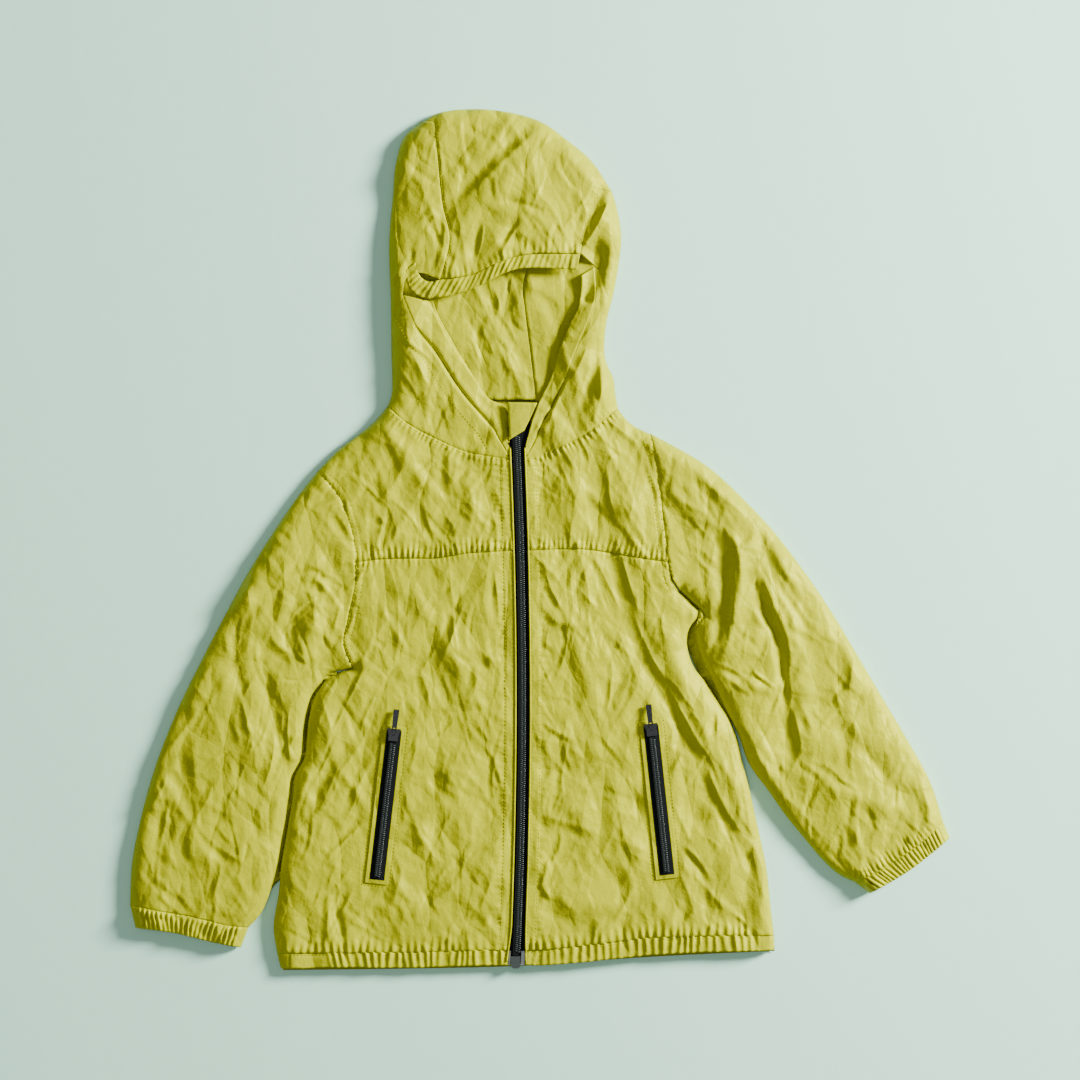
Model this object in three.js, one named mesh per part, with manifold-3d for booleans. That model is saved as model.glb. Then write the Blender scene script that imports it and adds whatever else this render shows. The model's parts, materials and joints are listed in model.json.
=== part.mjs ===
// A child's hooded windbreaker, laid flat on its back with the front zip closed.
//
// Millimetres, +Z up. X runs across the garment, Y from the hem up to the hood. The origin is
// on the surface that the jacket lies on, close to the centre front line.
// "Left" and "right" are as seen by someone who looks down on the garment.
//
// Every piece of cloth is a wall. Its places are laid out on the surface first, between the
// lines along which it is cut and sewn. Each place is then lifted to the height at which the
// upper layer of the garment lies there, or set on the surface if it is in the lower layer.
// All pieces share one height, so they run on from each other across their seams.

import * as THREE from "three";
import Module from "manifold-3d";
import { mergeVertices } from "three/addons/utils/BufferGeometryUtils.js";

const wasm = await Module();
wasm.setup();

// ---- driving dimensions ----

const WALL = 1.2; // one layer of cloth
const CASING_WALL = 1.8; // cloth turned over an elastic
const SEAM_GAP = 0.3; // between neighbouring pieces
const LIE_HEIGHT = 10; // top of the upper layer where nothing lifts it
const EDGE_HEIGHT = 3.2; // height of the turned edge, where upper and lower layer meet
const EDGE_ROUND = 15; // how far in from the edge the upper layer reaches its height

const ZIP_OPENING = 11.6; // the front zip shows between the two fronts
const ZIP_FLARE = { fromY: -325, run: 38, left: 2.4, right: 1.2 }; // the edges part at the hem
const ZIP_BOW = 5.2; // how far the zip's line bends sideways
const ZIP_BOW_X = 3.4; // where it is furthest over
const ZIP_BOW_Y = -136;
const ZIP_HALF_RUN = 225;
const NECK_Y = 68.5; // neck seam at the zip
const YOKE_Y = -9; // yoke seam at the zip
const HEM_SEAM_Y = -350; // hem seam at the zip
const HEM_EDGE_Y = -361.6; // hem edge at the zip
const ZIP_TOP_Y = 101;
const TAPE_WIDTH = 12;
const TAPE_WALL = 1;
const CHAIN_WIDTH = 5.6;
const CHAIN_PROUD = 1; // chain above the cloth beside it
const CHAIN_OFFSET = -1.2; // the chain lies a little left of the opening's middle
const CHAIN_END_Y = -353.6;

const POCKET_WINDOW = 12.7;
const POCKET_LENGTH = 128;
const POCKET_WELT = 3.2; // turned cloth around the window
const POCKET_CHAIN = 5.4;
const POCKET_TAPE_TOP = 1.3; // heights above the front
const POCKET_CHAIN_TOP = 2.9;

const GATHERS = { cuff: 17, hem: 26, brim: 20 }; // on each cuff, half hem and the brim
const GATHER_DEPTH = 1;

// ---- finishes ----

const finish = (color, roughness, metalness = 0) => ({ color, roughness, metalness });
const CLOTH = finish(0xd6cf2e, 0.75);
const CLOTH_INSIDE = finish(0xb3ac26, 0.8);
const ZIP_TAPE = finish(0x14191a, 0.8);
const ZIP_PLASTIC = finish(0x101616, 0.35);
const ZIP_METAL = finish(0x1a1d1e, 0.3, 0.6);
const PATCH_LOOK = finish(0x9aa09a, 0.4);

// ---- the lines along which the garment is cut, sewn and turned ----

const zipX = (y) => ZIP_BOW_X - ZIP_BOW * ((y - ZIP_BOW_Y) / ZIP_HALF_RUN) ** 2;

// A row is one place, x and y, and a smooth line runs through the rows.
function line(...rows) {
  const curve = new THREE.SplineCurve(rows.map(([x, y]) => new THREE.Vector2(x, y)));
  curve.arcLengthDivisions = 100;
  return (t) => curve.getPointAt(Math.min(Math.max(t, 0), 1));
}

const reversed = (run) => (t) => run(1 - t);

// Lines joined end to end. Each is given with the share of the whole at which it ends.
function chain(...parts) {
  return (t) => {
    let start = 0;
    for (const [run, end] of parts) {
      if (t <= end + 1e-9) return run((t - start) / (end - start));
      start = end;
    }
    return parts.at(-1)[0](1);
  };
}

// Where a front's turned edge is. The two edges part a little at the hem.
function zipEdgeAt(side, y) {
  const flare = side < 0 ? ZIP_FLARE.left : ZIP_FLARE.right;
  const share = THREE.MathUtils.smoothstep(ZIP_FLARE.fromY - y, 0, ZIP_FLARE.run);
  return new THREE.Vector2(zipX(y) + side * (ZIP_OPENING / 2 + flare * share), y);
}

function zipEdge(side, fromY, toY) {
  return (t) => {
    const y = fromY + (toY - fromY) * t;
    return zipEdgeAt(side, y);
  };
}

const atZip = (side, y) => {
  const { x } = zipEdgeAt(side, y);
  return [x, y];
};

const LEFT = {
  side: line([-206, -352], [-209, -329], [-204.6, -300], [-202.4, -276], [-196, -239],
    [-192.6, -217], [-190.6, -201], [-183, -186], [-181.4, -175], [-179.4, -154],
    [-174.8, -135.5], [-168.5, -125], [-162, -117.5], [-153, -113.3], [-141, -109]),
  hemSide: line([-203, -364.8], [-206, -352]),
  armholeLow: line([-141, -109], [-149, -89], [-146, -70], [-139, -37], [-139, -19]),
  armholeHigh: line([-139, -19], [-139.5, -5], [-144, 15], [-153, 37], [-171.5, 58.6]),
  shoulder: line([-171.5, 58.6], [-153.4, 77], [-137.3, 89], [-122.8, 101], [-112, 114]),
  sleeveInner: line([-142.5, -109.5], [-153.5, -111.5], [-163.5, -114.8], [-170.8, -124],
    [-177.4, -134.5], [-182.2, -154], [-184.2, -175], [-185.8, -187], [-193.8, -202],
    [-195.8, -219], [-199, -239], [-205.6, -276], [-208.8, -290], [-214.6, -307], [-220.6, -319],
    [-230.5, -330]),
  sleeveOuter: line([-171.5, 58.6], [-189.8, 35], [-214.2, -1], [-234.2, -34], [-252.5, -68],
    [-270.2, -102], [-287, -136], [-301.5, -170], [-313.4, -204], [-322.4, -238], [-329.6, -274],
    [-331.3, -311]),
  cuffSeam: line([-230.5, -330], [-250, -327.4], [-275, -321.4], [-303, -316.2], [-331.3, -311]),
  cuffInner: line([-230.5, -330], [-236.8, -346.8]),
  cuffOuter: line([-331.3, -311], [-326.8, -330]),
  cuffEdge: line([-236.8, -346.8], [-262, -341.8], [-288, -335.2], [-308, -332], [-326.8, -330]),
  yokeSeam: line([-139, -19], [-118, -16.6], [-89, -15.8], [-73, -16], [-59.6, -14.2], [-44, -11.6],
    [-24.5, -10.3], atZip(-1, YOKE_Y)),
  neck: line([-112, 114], [-93, 98], [-64, 83], [-41, 74], atZip(-1, NECK_Y)),
  hemSeam: line([-206, -352], [-152, -351.6], [-101, -351.4], [-67, -350.8], [-33, -349.6],
    atZip(-1, HEM_SEAM_Y)),
  hemEdge: line([-203, -364.8], [-152, -363.4], [-101, -363.8], [-67, -363], [-33, -361.8],
    atZip(-1, HEM_EDGE_Y)),
  hoodSide: line([-112, 114], [-108.2, 127], [-108.8, 162], [-109.4, 204], [-110.8, 245],
    [-109.8, 269], [-107.5, 293], [-105.6, 317], [-99, 341], [-86.6, 353], [-81, 356.5]),
  hoodFace: line(atZip(-1, NECK_Y), [-16.5, 84.5], [-24.3, 97.7], [-48.3, 126], [-71.3, 161],
    [-87.3, 181], [-99, 208]),
  hoodFold: line([-99, 208], [-96, 222], [-84, 227], [-67, 221]),
  crown: line([-67, 221], [-59, 255], [-65, 285], [-69, 323], [-72, 355.5]),
  hoodBackSeam: line([-35, 119.5], [-42, 144], [-57, 170], [-73, 204], [-76, 250], [-74, 310],
    [-72, 355.5]),
};

const RIGHT = {
  side: line([217.2, -337], [214.2, -312], [211.2, -283], [206.6, -259], [200.8, -233],
    [195.9, -211], [190, -188], [185.4, -168], [178.6, -151.5], [170.4, -139], [159.4, -122],
    [148.8, -108], [144, -95], [143, -85], [145.3, -74.5], [155, -62.8], [150, -57.8],
    [143.6, -51], [136, -44]),
  hemSide: line([217.4, -349], [217.2, -337]),
  armholeLow: line([136, -44], [130, -34], [127, -19]),
  armholeHigh: line([127, -19], [125, 0], [122, 26], [118, 60], [113, 89.5]),
  shoulder: line([113, 89.5], [95, 99], [84, 112]),
  sleeveInner: line([138, -43.2], [145.6, -50], [152, -56.2], [158.6, -63.2], [153, -70],
    [150.6, -76], [152.5, -90], [157, -103], [161.4, -112], [168, -125.5], [176.6, -144.5],
    [188, -167.5], [194.6, -186.5], [202, -199], [211.3, -211], [228.3, -235], [247.9, -259],
    [259, -272], [271, -283], [280, -288.2], [286, -290.5]),
  sleeveOuter: line([113, 89.5], [150, 69], [171.3, 53], [195.9, 29], [218, 5], [245.2, -31],
    [269, -67], [290.3, -103], [311.5, -139], [332.8, -175], [350, -207], [360.6, -240]),
  cuffSeam: line([286, -290.5], [296.7, -286.4], [314.3, -276], [333.3, -263.6], [347.2, -253],
    [360.6, -240]),
  cuffInner: line([286, -290.5], [298.7, -300.3]),
  cuffOuter: line([360.6, -240], [366.2, -253.4]),
  cuffEdge: line([298.7, -300.3], [333, -279.8], [366.2, -253.4]),
  yokeSeam: line([127, -19], [93, -14], [60, -8.5], [35, -8], atZip(1, YOKE_Y)),
  neck: line([84, 112], [62, 94], [47, 85], [27, 76], atZip(1, NECK_Y)),
  hemSeam: line([217.2, -337], [154, -337.4], [111, -339.2], [69, -344], [35, -348],
    atZip(1, HEM_SEAM_Y)),
  hemEdge: line([217.4, -349], [154, -350.6], [120, -352.4], [86, -355.6], [52, -359.3], [22, -361.6],
    atZip(1, HEM_EDGE_Y)),
  hoodSide: line([84, 112], [82, 125], [80.6, 137], [75.2, 149], [72.7, 161], [74.4, 185],
    [80.3, 209], [84.6, 233], [87.1, 257], [83.7, 281], [79, 297]),
  hoodFace: line(atZip(1, NECK_Y), [13, 84], [20, 100], [28, 114], [40, 140], [50, 165],
    [60, 189], [65, 208], [64, 236]),
  hoodFold: line([64, 236], [59, 242], [52, 243]),
  crown: line([52, 243], [56, 262], [62, 281], [68, 298]),
  hoodBackSeam: line([14, 119.5], [12, 138], [8.5, 167], [5, 195], [4, 222], [22, 262],
    [48, 286], [68, 298]),
};

const hoodTop = line([-81, 356.5], [-68, 363.8], [-46, 366.8], [-16, 365.5], [17, 357],
  [41, 340.5], [61.7, 322.7], [79, 297]);
const backNeckLeft = line([-112, 114], [-35, 119.5]);
const backNeckStrip = line([-35, 119.5], [14, 119.5]);
const backNeckRight = line([14, 119.5], [84, 112]);
const NECK_STRIP = [0.39, 0.64]; // shares of the back neck at the hood's inside seams
const brimTop = line([-67, 221], [-42, 224.5], [-16, 236], [9, 242.5], [52, 243]);
const brimEdge = line([-76, 205], [-54, 208.5], [-33, 216], [-12, 226.5], [9, 231], [49, 229.5]);
const backHemSeam = line([-206, -352], [-100, -351.6], [0, -350], [110, -339.6], [217.2, -337]);
const backHemEdge = line([-201, -366.6], [-100, -365.4], [0, -363], [110, -355.4], [217.6, -350.2]);

// ---- how the cloth lies ----

// The turned edges of the garment, as runs of short straight steps.
const TURNED = [
  LEFT.side, LEFT.hemSide, LEFT.shoulder, LEFT.sleeveInner, LEFT.sleeveOuter, LEFT.cuffInner,
  LEFT.cuffOuter, LEFT.hoodSide, RIGHT.side, RIGHT.hemSide, RIGHT.shoulder, RIGHT.sleeveInner,
  RIGHT.sleeveOuter, RIGHT.cuffInner, RIGHT.cuffOuter, RIGHT.hoodSide, hoodTop,
].map((run) => steps(run, 40));

function steps(run, count) {
  return Array.from({ length: count + 1 }, (_, i) => run(i / count));
}

// The nearest place on a run of straight steps, and the share of the run at which it lies.
function nearestOn(points, x, y) {
  let best = { distance: Infinity, x, y, share: 0 };
  for (let i = 0; i + 1 < points.length; i += 1) {
    const a = points[i];
    const b = points[i + 1];
    const dx = b.x - a.x;
    const dy = b.y - a.y;
    const along = ((x - a.x) * dx + (y - a.y) * dy) / (dx * dx + dy * dy);
    const k = Math.min(Math.max(along, 0), 1);
    const px = a.x + dx * k;
    const py = a.y + dy * k;
    const distance = Math.hypot(x - px, y - py);
    if (distance < best.distance) {
      best = { distance, x: px, y: py, share: (i + k) / (points.length - 1) };
    }
  }
  return best;
}

// Broad swells of the upper layer: centre, reach to each side, and height.
const SWELLS = [
  // x, y, reach x, reach y, height
  [-5, 295, 80, 62, 8],
  [-86, 165, 34, 70, 4],
  [62, 150, 30, 60, 4],
  [-12, 226, 55, 26, 3],
  [-205, -60, 52, 80, 3],
  [-268, -215, 55, 90, 2],
  [200, -40, 52, 80, 3.5],
  [292, -190, 55, 90, 2],
  [-120, 60, 50, 40, 2],
  [70, 60, 50, 40, 2],
  [-60, -210, 90, 80, 1],
  [70, -110, 60, 90, 1],
  [0, -375, 260, 42, -3],
];

// Folds: two ends and a bend between them, the reach to each side and the height.
// A negative height is a valley.
const FOLDS = [
  // from x, y, bend x, y, to x, y, reach, height
  [69, 34, 98, -85, 202, -270, 8, -5],
  [84, 40, 116, -72, 214, -250, 9, 4],
  [163, 14, 184, -30, 160, -108, 6, -4.5],
  [178, 12, 199, -32, 174, -104, 8, 3.5],
  [199, 14, 222, -38, 250, -78, 6, -3.5],
  [201, -27, 226, -92, 234, -189, 6, -4],
  [216, -30, 242, -92, 248, -182, 9, 2.5],
  [168, -118, 196, -130, 236, -122, 6, 2],
  [250, -200, 290, -222, 322, -232, 7, 2],
  [262, -152, 300, -182, 326, -222, 7, -2],
  [-161, -29, -214, -30, -239, -80, 6, -4.5],
  [-158, -18, -214, -16, -250, -70, 8, 2.5],
  [-239, -80, -244, -124, -227, -178, 6, -3.5],
  [-164, -46, -206, -62, -192, -98, 5, -5],
  [-166, -60, -186, -76, -176, -104, 7, 3],
  [-222, -80, -210, -134, -197, -204, 6, -4],
  [-163, -106, -186, -142, -186, -186, 6, 2.5],
  [-301, -221, -306, -262, -309, -300, 6, -2.5],
  [-254, -109, -236, -150, -222, -198, 8, 2.5],
  [-262, -210, -262, -250, -272, -300, 8, 2],
  [20, 358, -36, 312, -76, 262, 7, -6],
  [28, 338, -18, 300, -58, 264, 9, 3],
  [-33, 270, -38, 252, -37, 236, 4, -3.5],
  [75, 310, 62, 268, 48, 246, 5, -6],
  [68, 250, 73, 226, 67, 198, 5, -6],
  [-15, 290, 3, 284, 21, 280, 4, -2],
  [-2, 272, -8, 262, -15, 250, 4, -2],
  [-96, 190, -92, 150, -70, 108, 7, 2],
  [68, 170, 64, 140, 50, 104, 5, -3],
  [-132, 62, -108, 42, -96, 10, 8, 2],
  [-72, 60, -60, 34, -62, 2, 8, -2],
  [32, 52, 62, 34, 104, 24, 8, 2],
  [-104, -30, -62, -74, -42, -142, 8, 2],
  [-52, -62, -92, -98, -128, -122, 7, -2],
  [-32, -186, -70, -212, -92, -262, 9, 2],
  [-30, -120, -66, -150, -84, -140, 8, 1.5],
  [-159, -300, -152, -330, -147, -352, 4, -2.5],
  [36, -62, 58, -112, 68, -172, 8, 2],
  [30, -204, 58, -242, 92, -292, 9, 2],
  [20, -300, 56, -316, 100, -310, 8, 1.5],
].map(([x1, y1, bendX, bendY, x2, y2, reach, height]) => {
  const bend = new THREE.QuadraticBezierCurve(
    new THREE.Vector2(x1, y1),
    new THREE.Vector2(bendX, bendY),
    new THREE.Vector2(x2, y2),
  );
  return { points: bend.getPoints(12), reach, height };
});

// Height of the upper layer's top face, away from the turned edges.
function freeHeight(x, y) {
  let z = LIE_HEIGHT;
  for (const [cx, cy, reachX, reachY, height] of SWELLS) {
    z += height * Math.exp(-(((x - cx) / reachX) ** 2) - ((y - cy) / reachY) ** 2);
  }
  for (const { points, reach, height } of FOLDS) {
    const { distance, share } = nearestOn(points, x, y);
    const taper = Math.sqrt(Math.sin(Math.PI * share));
    z += height * taper * Math.exp(-((distance / reach) ** 2));
  }
  return z;
}

function nearestTurned(x, y) {
  let best = { distance: Infinity };
  for (const points of TURNED) {
    const found = nearestOn(points, x, y);
    if (found.distance < best.distance) best = found;
  }
  return best;
}

// The outer face at one place: a point, the way that it faces, and how much a slope there
// thickens the wall when it is measured upright.
function lie({ x, y, under = false, turned = null, along = null, half = 0, lift = 0 }) {
  if (turned) {
    const point = new THREE.Vector3(x, y, EDGE_HEIGHT + (half * SEAM_GAP) / 2);
    return { point, normal: new THREE.Vector3(turned.x, turned.y, 0), thicken: 1 };
  }
  const edge = nearestTurned(x, y);
  const outward = new THREE.Vector2(edge.x - x, edge.y - y).normalize();
  if (along) outward.copy(along.clone().multiplyScalar(outward.dot(along)));
  if (under) {
    const k = Math.max(1 - edge.distance / EDGE_HEIGHT, 0);
    const dip = Math.sqrt(1 - k * k);
    const point = new THREE.Vector3(x, y, EDGE_HEIGHT * (1 - dip));
    return { point, normal: new THREE.Vector3(outward.x * k, outward.y * k, -dip), thicken: 1 };
  }
  const k = Math.max(1 - edge.distance / EDGE_ROUND, 0);
  const rise = Math.sqrt(1 - k * k);
  const top = freeHeight(x, y);
  const slope = k > 0 ? (((top - EDGE_HEIGHT) / EDGE_ROUND) * k) / Math.max(rise, 0.02) : 0;
  const step = 1;
  const gradient = Math.hypot(
    (freeHeight(x + step, y) - freeHeight(x - step, y)) / (2 * step),
    (freeHeight(x, y + step) - freeHeight(x, y - step)) / (2 * step),
  );
  const point = new THREE.Vector3(x, y, EDGE_HEIGHT + (top - EDGE_HEIGHT) * rise + lift);
  const normal = new THREE.Vector3(outward.x * slope, outward.y * slope, 1).normalize();
  return { point, normal, thicken: 1 + rise * (Math.hypot(1, gradient) - 1) };
}

// ---- cloth walls ----

// Places between four lines: s runs from left to right, t from bottom to top.
function spread({ bottom, top, left, right }) {
  const corners = [bottom(0), bottom(1), top(0), top(1)];
  return (s, t) => {
    const place = new THREE.Vector2();
    place.addScaledVector(bottom(s), 1 - t).addScaledVector(top(s), t);
    place.addScaledVector(left(t), 1 - s).addScaledVector(right(t), s);
    place.addScaledVector(corners[0], -(1 - s) * (1 - t));
    place.addScaledVector(corners[1], -s * (1 - t));
    place.addScaledVector(corners[2], -(1 - s) * t);
    place.addScaledVector(corners[3], -s * t);
    return { x: place.x, y: place.y, s, t };
  };
}

// A unit vector square to the run from a to b, on the same side as the place "towards".
function squareTo(a, b, from, towards) {
  const square = new THREE.Vector2(a.y - b.y, b.x - a.x).normalize();
  const side = square.x * (towards.x - from.x) + square.y * (towards.y - from.y);
  return side < 0 ? square.negate() : square;
}

// Draws the open borders of a sheet of places in by half a seam gap, and finds which way the
// turned edges face. Turned edges on a border stay where they are. "along" is a border's own
// direction: the wall's end face stands over that line, square to the surface below.
function settle(rows, around) {
  const last = { row: rows.length - 1, column: rows[0].length - 1 };
  const at = (j, i) => {
    const column = around ? (i + last.column + 1) % (last.column + 1) : i;
    const inRow = Math.min(Math.max(j, 0), last.row);
    return rows[inRow][Math.min(Math.max(column, 0), last.column)];
  };
  const direction = (from, to) => new THREE.Vector2(to.x - from.x, to.y - from.y).normalize();
  return rows.map((row, j) => row.map((place, i) => {
    const moved = { ...place };
    const draw = (square) => {
      moved.x += (square.x * SEAM_GAP) / 2;
      moved.y += (square.y * SEAM_GAP) / 2;
    };
    const onRow = j === 0 || j === last.row;
    const onColumn = !around && !place.turned && (i === 0 || i === last.column);
    if (onRow) {
      const inward = at(j === 0 ? 1 : j - 1, i);
      draw(squareTo(at(j, i - 1), at(j, i + 1), place, inward));
      moved.along = direction(at(j, i - 1), at(j, i + 1));
    }
    if (onColumn) {
      const inward = at(j, i === 0 ? 1 : i - 1);
      draw(squareTo(at(j - 1, i), at(j + 1, i), place, inward));
      moved.along = onRow ? new THREE.Vector2() : direction(at(j - 1, i), at(j + 1, i));
    }
    if (place.turned) {
      const inner = i < last.column ? at(j, i + 1) : at(j, i - 1);
      moved.turned = onRow
        ? direction(inner, place)
        : squareTo(at(j - 1, i), at(j + 1, i), place, inner).negate();
    }
    return moved;
  }));
}

// A closed wall from rows of outer points and the inner points behind them.
function wallGeometry(outer, inner, around) {
  const rowCount = outer.length;
  const count = outer[0].length;
  const points = [...outer.flat(), ...inner.flat()];
  const indices = [];
  const behind = rowCount * count;
  const quad = (a, b, c, d) => indices.push(a, b, c, a, c, d);
  const spans = around ? count : count - 1;
  for (let j = 0; j + 1 < rowCount; j += 1) {
    for (let i = 0; i < spans; i += 1) {
      const next = (i + 1) % count;
      const a = j * count + i;
      const b = j * count + next;
      const c = (j + 1) * count + next;
      const d = (j + 1) * count + i;
      quad(a, b, c, d);
      quad(behind + d, behind + c, behind + b, behind + a);
    }
  }
  const rim = (a, b) => quad(b, a, behind + a, behind + b);
  for (let i = 0; i < spans; i += 1) {
    const next = (i + 1) % count;
    rim(i, next);
    rim((rowCount - 1) * count + next, (rowCount - 1) * count + i);
  }
  if (!around) {
    for (let j = 0; j + 1 < rowCount; j += 1) {
      rim((j + 1) * count, j * count);
      rim(j * count + count - 1, (j + 1) * count + count - 1);
    }
  }
  return facingOut(new THREE.BufferGeometry().setFromPoints(points), indices);
}

// Turns all faces over if they enclose a negative volume.
function facingOut(geometry, indices) {
  const position = geometry.getAttribute("position");
  const [a, b, c] = [new THREE.Vector3(), new THREE.Vector3(), new THREE.Vector3()];
  let volume = 0;
  for (let k = 0; k < indices.length; k += 3) {
    a.fromBufferAttribute(position, indices[k]);
    b.fromBufferAttribute(position, indices[k + 1]);
    c.fromBufferAttribute(position, indices[k + 2]);
    volume += a.dot(b.cross(c));
  }
  geometry.setIndex(volume < 0 ? indices.reverse() : indices);
  return geometry;
}

// One piece of cloth from a sheet of places. "raise" adds height at each place of the upper
// layer, "half" says whether the piece is the upper (1) or lower (-1) one at a shared edge.
function cloth(rows, { wall = WALL, around = false, half = 0, raise = () => 0 } = {}) {
  const outer = [];
  const inner = [];
  settle(rows, around).forEach((row, j) => {
    const faces = row.map((place, i) => lie({ ...place, half, lift: raise(place, i, j) }));
    outer.push(faces.map(({ point }) => point));
    inner.push(faces.map(({ point, normal, thicken }) => (
      point.clone().addScaledVector(normal, -wall * Math.min(thicken, 1.5)))));
  });
  return wallGeometry(outer, inner, around);
}

const group = new THREE.Group();

function add(name, geometry, look) {
  const mesh = new THREE.Mesh(geometry, new THREE.MeshStandardMaterial(look));
  mesh.name = name;
  group.add(mesh);
  return mesh;
}

// ---- how finely each piece is divided ----

const evenly = (count) => Array.from({ length: count + 1 }, (_, i) => i / count);
const between = (from, to, count) => evenly(count).map((k) => from + (to - from) * k);

// Shares of a width, close together at the turned edges at one or both ends.
const EDGE_STEPS = [0.8, 3, 7.5];
const NEXT_STEP = 16;
const closeAtStart = (width, count) => [
  0, ...EDGE_STEPS.map((d) => d / width), ...between(NEXT_STEP / width, 1, count),
];
const closeAtBoth = (width, count) => {
  const near = [0, ...EDGE_STEPS.map((d) => d / width)];
  const far = near.map((share) => 1 - share).reverse();
  return [...near, ...between(NEXT_STEP / width, 1 - NEXT_STEP / width, count), ...far];
};
const mirrored = (shares) => shares.map((share) => 1 - share).reverse();

// Shares that go over from one list at t = 0 to another at the given t.
function blended(first, then, settled) {
  return (i, t) => {
    const k = THREE.MathUtils.smoothstep(t, 0, settled);
    return first[i] + (then[i] - first[i]) * k;
  };
}

// The armhole is divided alike on the body and on the sleeve, so their seams follow the same
// places. The upper layer's steps are given below and above the yoke seam.
const ARMHOLE_STEPS = { left: { low: 6, high: 6 }, right: { low: 4, high: 8 } };
const ARMHOLE_BACK_STEPS = 8;
const armhole = (half) => chain([half.armholeLow, 0.5], [half.armholeHigh, 1]);

// ---- back ----

const BACK_COLUMNS = [
  0, 0.002, 0.0075, 0.019, 0.04, 0.2, NECK_STRIP[0], 0.515, NECK_STRIP[1], 0.8, 0.96, 0.981,
  0.9925, 0.998, 1,
];
const SIDE_END = 0.62; // share of a side's run that is side seam
const ARMHOLE_END = 0.9; // and where the armhole ends and the shoulder begins
const isAtMost = (t, end) => t <= end + 1e-9;
const isAtLeast = (t, end) => t >= end - 1e-9;

function backPanel() {
  const run = (half) => chain(
    [half.side, SIDE_END], [armhole(half), ARMHOLE_END], [half.shoulder, 1],
  );
  const place = spread({
    bottom: backHemSeam,
    top: chain(
      [backNeckLeft, NECK_STRIP[0]], [backNeckStrip, NECK_STRIP[1]], [backNeckRight, 1],
    ),
    left: run(LEFT),
    right: run(RIGHT),
  });
  const up = [
    ...between(0, SIDE_END, 9),
    ...between(SIDE_END, ARMHOLE_END, ARMHOLE_BACK_STEPS).slice(1),
    ...between(ARMHOLE_END, 1, 3).slice(1),
  ];
  const isTurned = (s, t) => (
    (s === 0 || s === 1) && (isAtMost(t, SIDE_END) || isAtLeast(t, ARMHOLE_END)));
  const rows = up.map((t) => BACK_COLUMNS.map((s) => (
    { ...place(s, t), under: true, turned: isTurned(s, t) })));
  return cloth(rows, { half: -1 });
}

// ---- fronts and yokes ----

const FRONT_SIDE_END = { left: 0.74, right: 0.93 }; // where the armhole begins on the outer side
const FRONT_SIDE_STEPS = { left: 11, right: 14 };
const YOKE_ARMHOLE_END = 0.5; // where the shoulder begins on the yoke's outer side
const SHOULDER_STEPS = 3;
const TURNED_EDGE = 10; // the front's edge beside the zip is turned in and stitched
const TURNED_LIFT = 0.5;

// Columns of the front and the yoke, from the armhole or side seam to the zip.
const FRONT_COLUMNS = [0, 0.006, 0.022, 0.055, ...between(0.12, 0.93, 7), 0.965, 1];

function turnedLift({ x, y }) {
  const side = Math.sign(x - zipX(y));
  const fromEdge = Math.abs(x - zipEdgeAt(side, y).x);
  return fromEdge < TURNED_EDGE ? TURNED_LIFT : 0;
}

function frontPanel(half, name, side) {
  const knot = FRONT_SIDE_END[name];
  const place = spread({
    bottom: half.hemSeam,
    top: half.yokeSeam,
    left: chain([half.side, knot], [half.armholeLow, 1]),
    right: zipEdge(side, HEM_SEAM_Y, YOKE_Y),
  });
  const up = [
    ...between(0, knot, FRONT_SIDE_STEPS[name]),
    ...between(knot, 1, ARMHOLE_STEPS[name].low).slice(1),
  ];
  const rows = up.map((t) => FRONT_COLUMNS.map((s) => (
    { ...place(s, t), turned: s === 0 && isAtMost(t, knot) })));
  return cloth(rows, { half: 1, raise: turnedLift });
}

function yoke(half, name, side) {
  const knot = YOKE_ARMHOLE_END;
  const place = spread({
    bottom: half.yokeSeam,
    top: half.neck,
    left: chain([half.armholeHigh, knot], [half.shoulder, 1]),
    right: zipEdge(side, YOKE_Y, NECK_Y),
  });
  const up = [
    ...between(0, knot, ARMHOLE_STEPS[name].high),
    ...between(knot, 1, SHOULDER_STEPS).slice(1),
  ];
  const rows = up.map((t) => FRONT_COLUMNS.map((s) => (
    { ...place(s, t), turned: s === 0 && isAtLeast(t, knot) })));
  return cloth(rows, { half: 1, raise: turnedLift });
}

// ---- sleeves and cuffs ----

const SLEEVE_WIDTH = 125;
const SLEEVE_ROWS = [0, 0.03, 0.07, ...between(0.12, 0.97, 11), 1];
const SLEEVE_SETTLED = 0.14;
const CUFF_WIDTH = 94;
const TUBE_BELOW = [1, 0.993, 0.975, 0.72, 0.5, 0.28, 0.025, 0.007, 0]; // lower layer's shares

// A flattened tube: the upper layer from the inner to the outer edge and the lower one back.
function tube(place, upper, lower, rowShares) {
  const lastUpper = upper.length - 1;
  return rowShares.map((t) => [
    ...upper.map((share, i) => (
      { ...place(share, t), turned: i === 0 || i === lastUpper })),
    ...lower.slice(1, -1).map((share) => ({ ...place(share, t), under: true })),
  ]);
}

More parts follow.
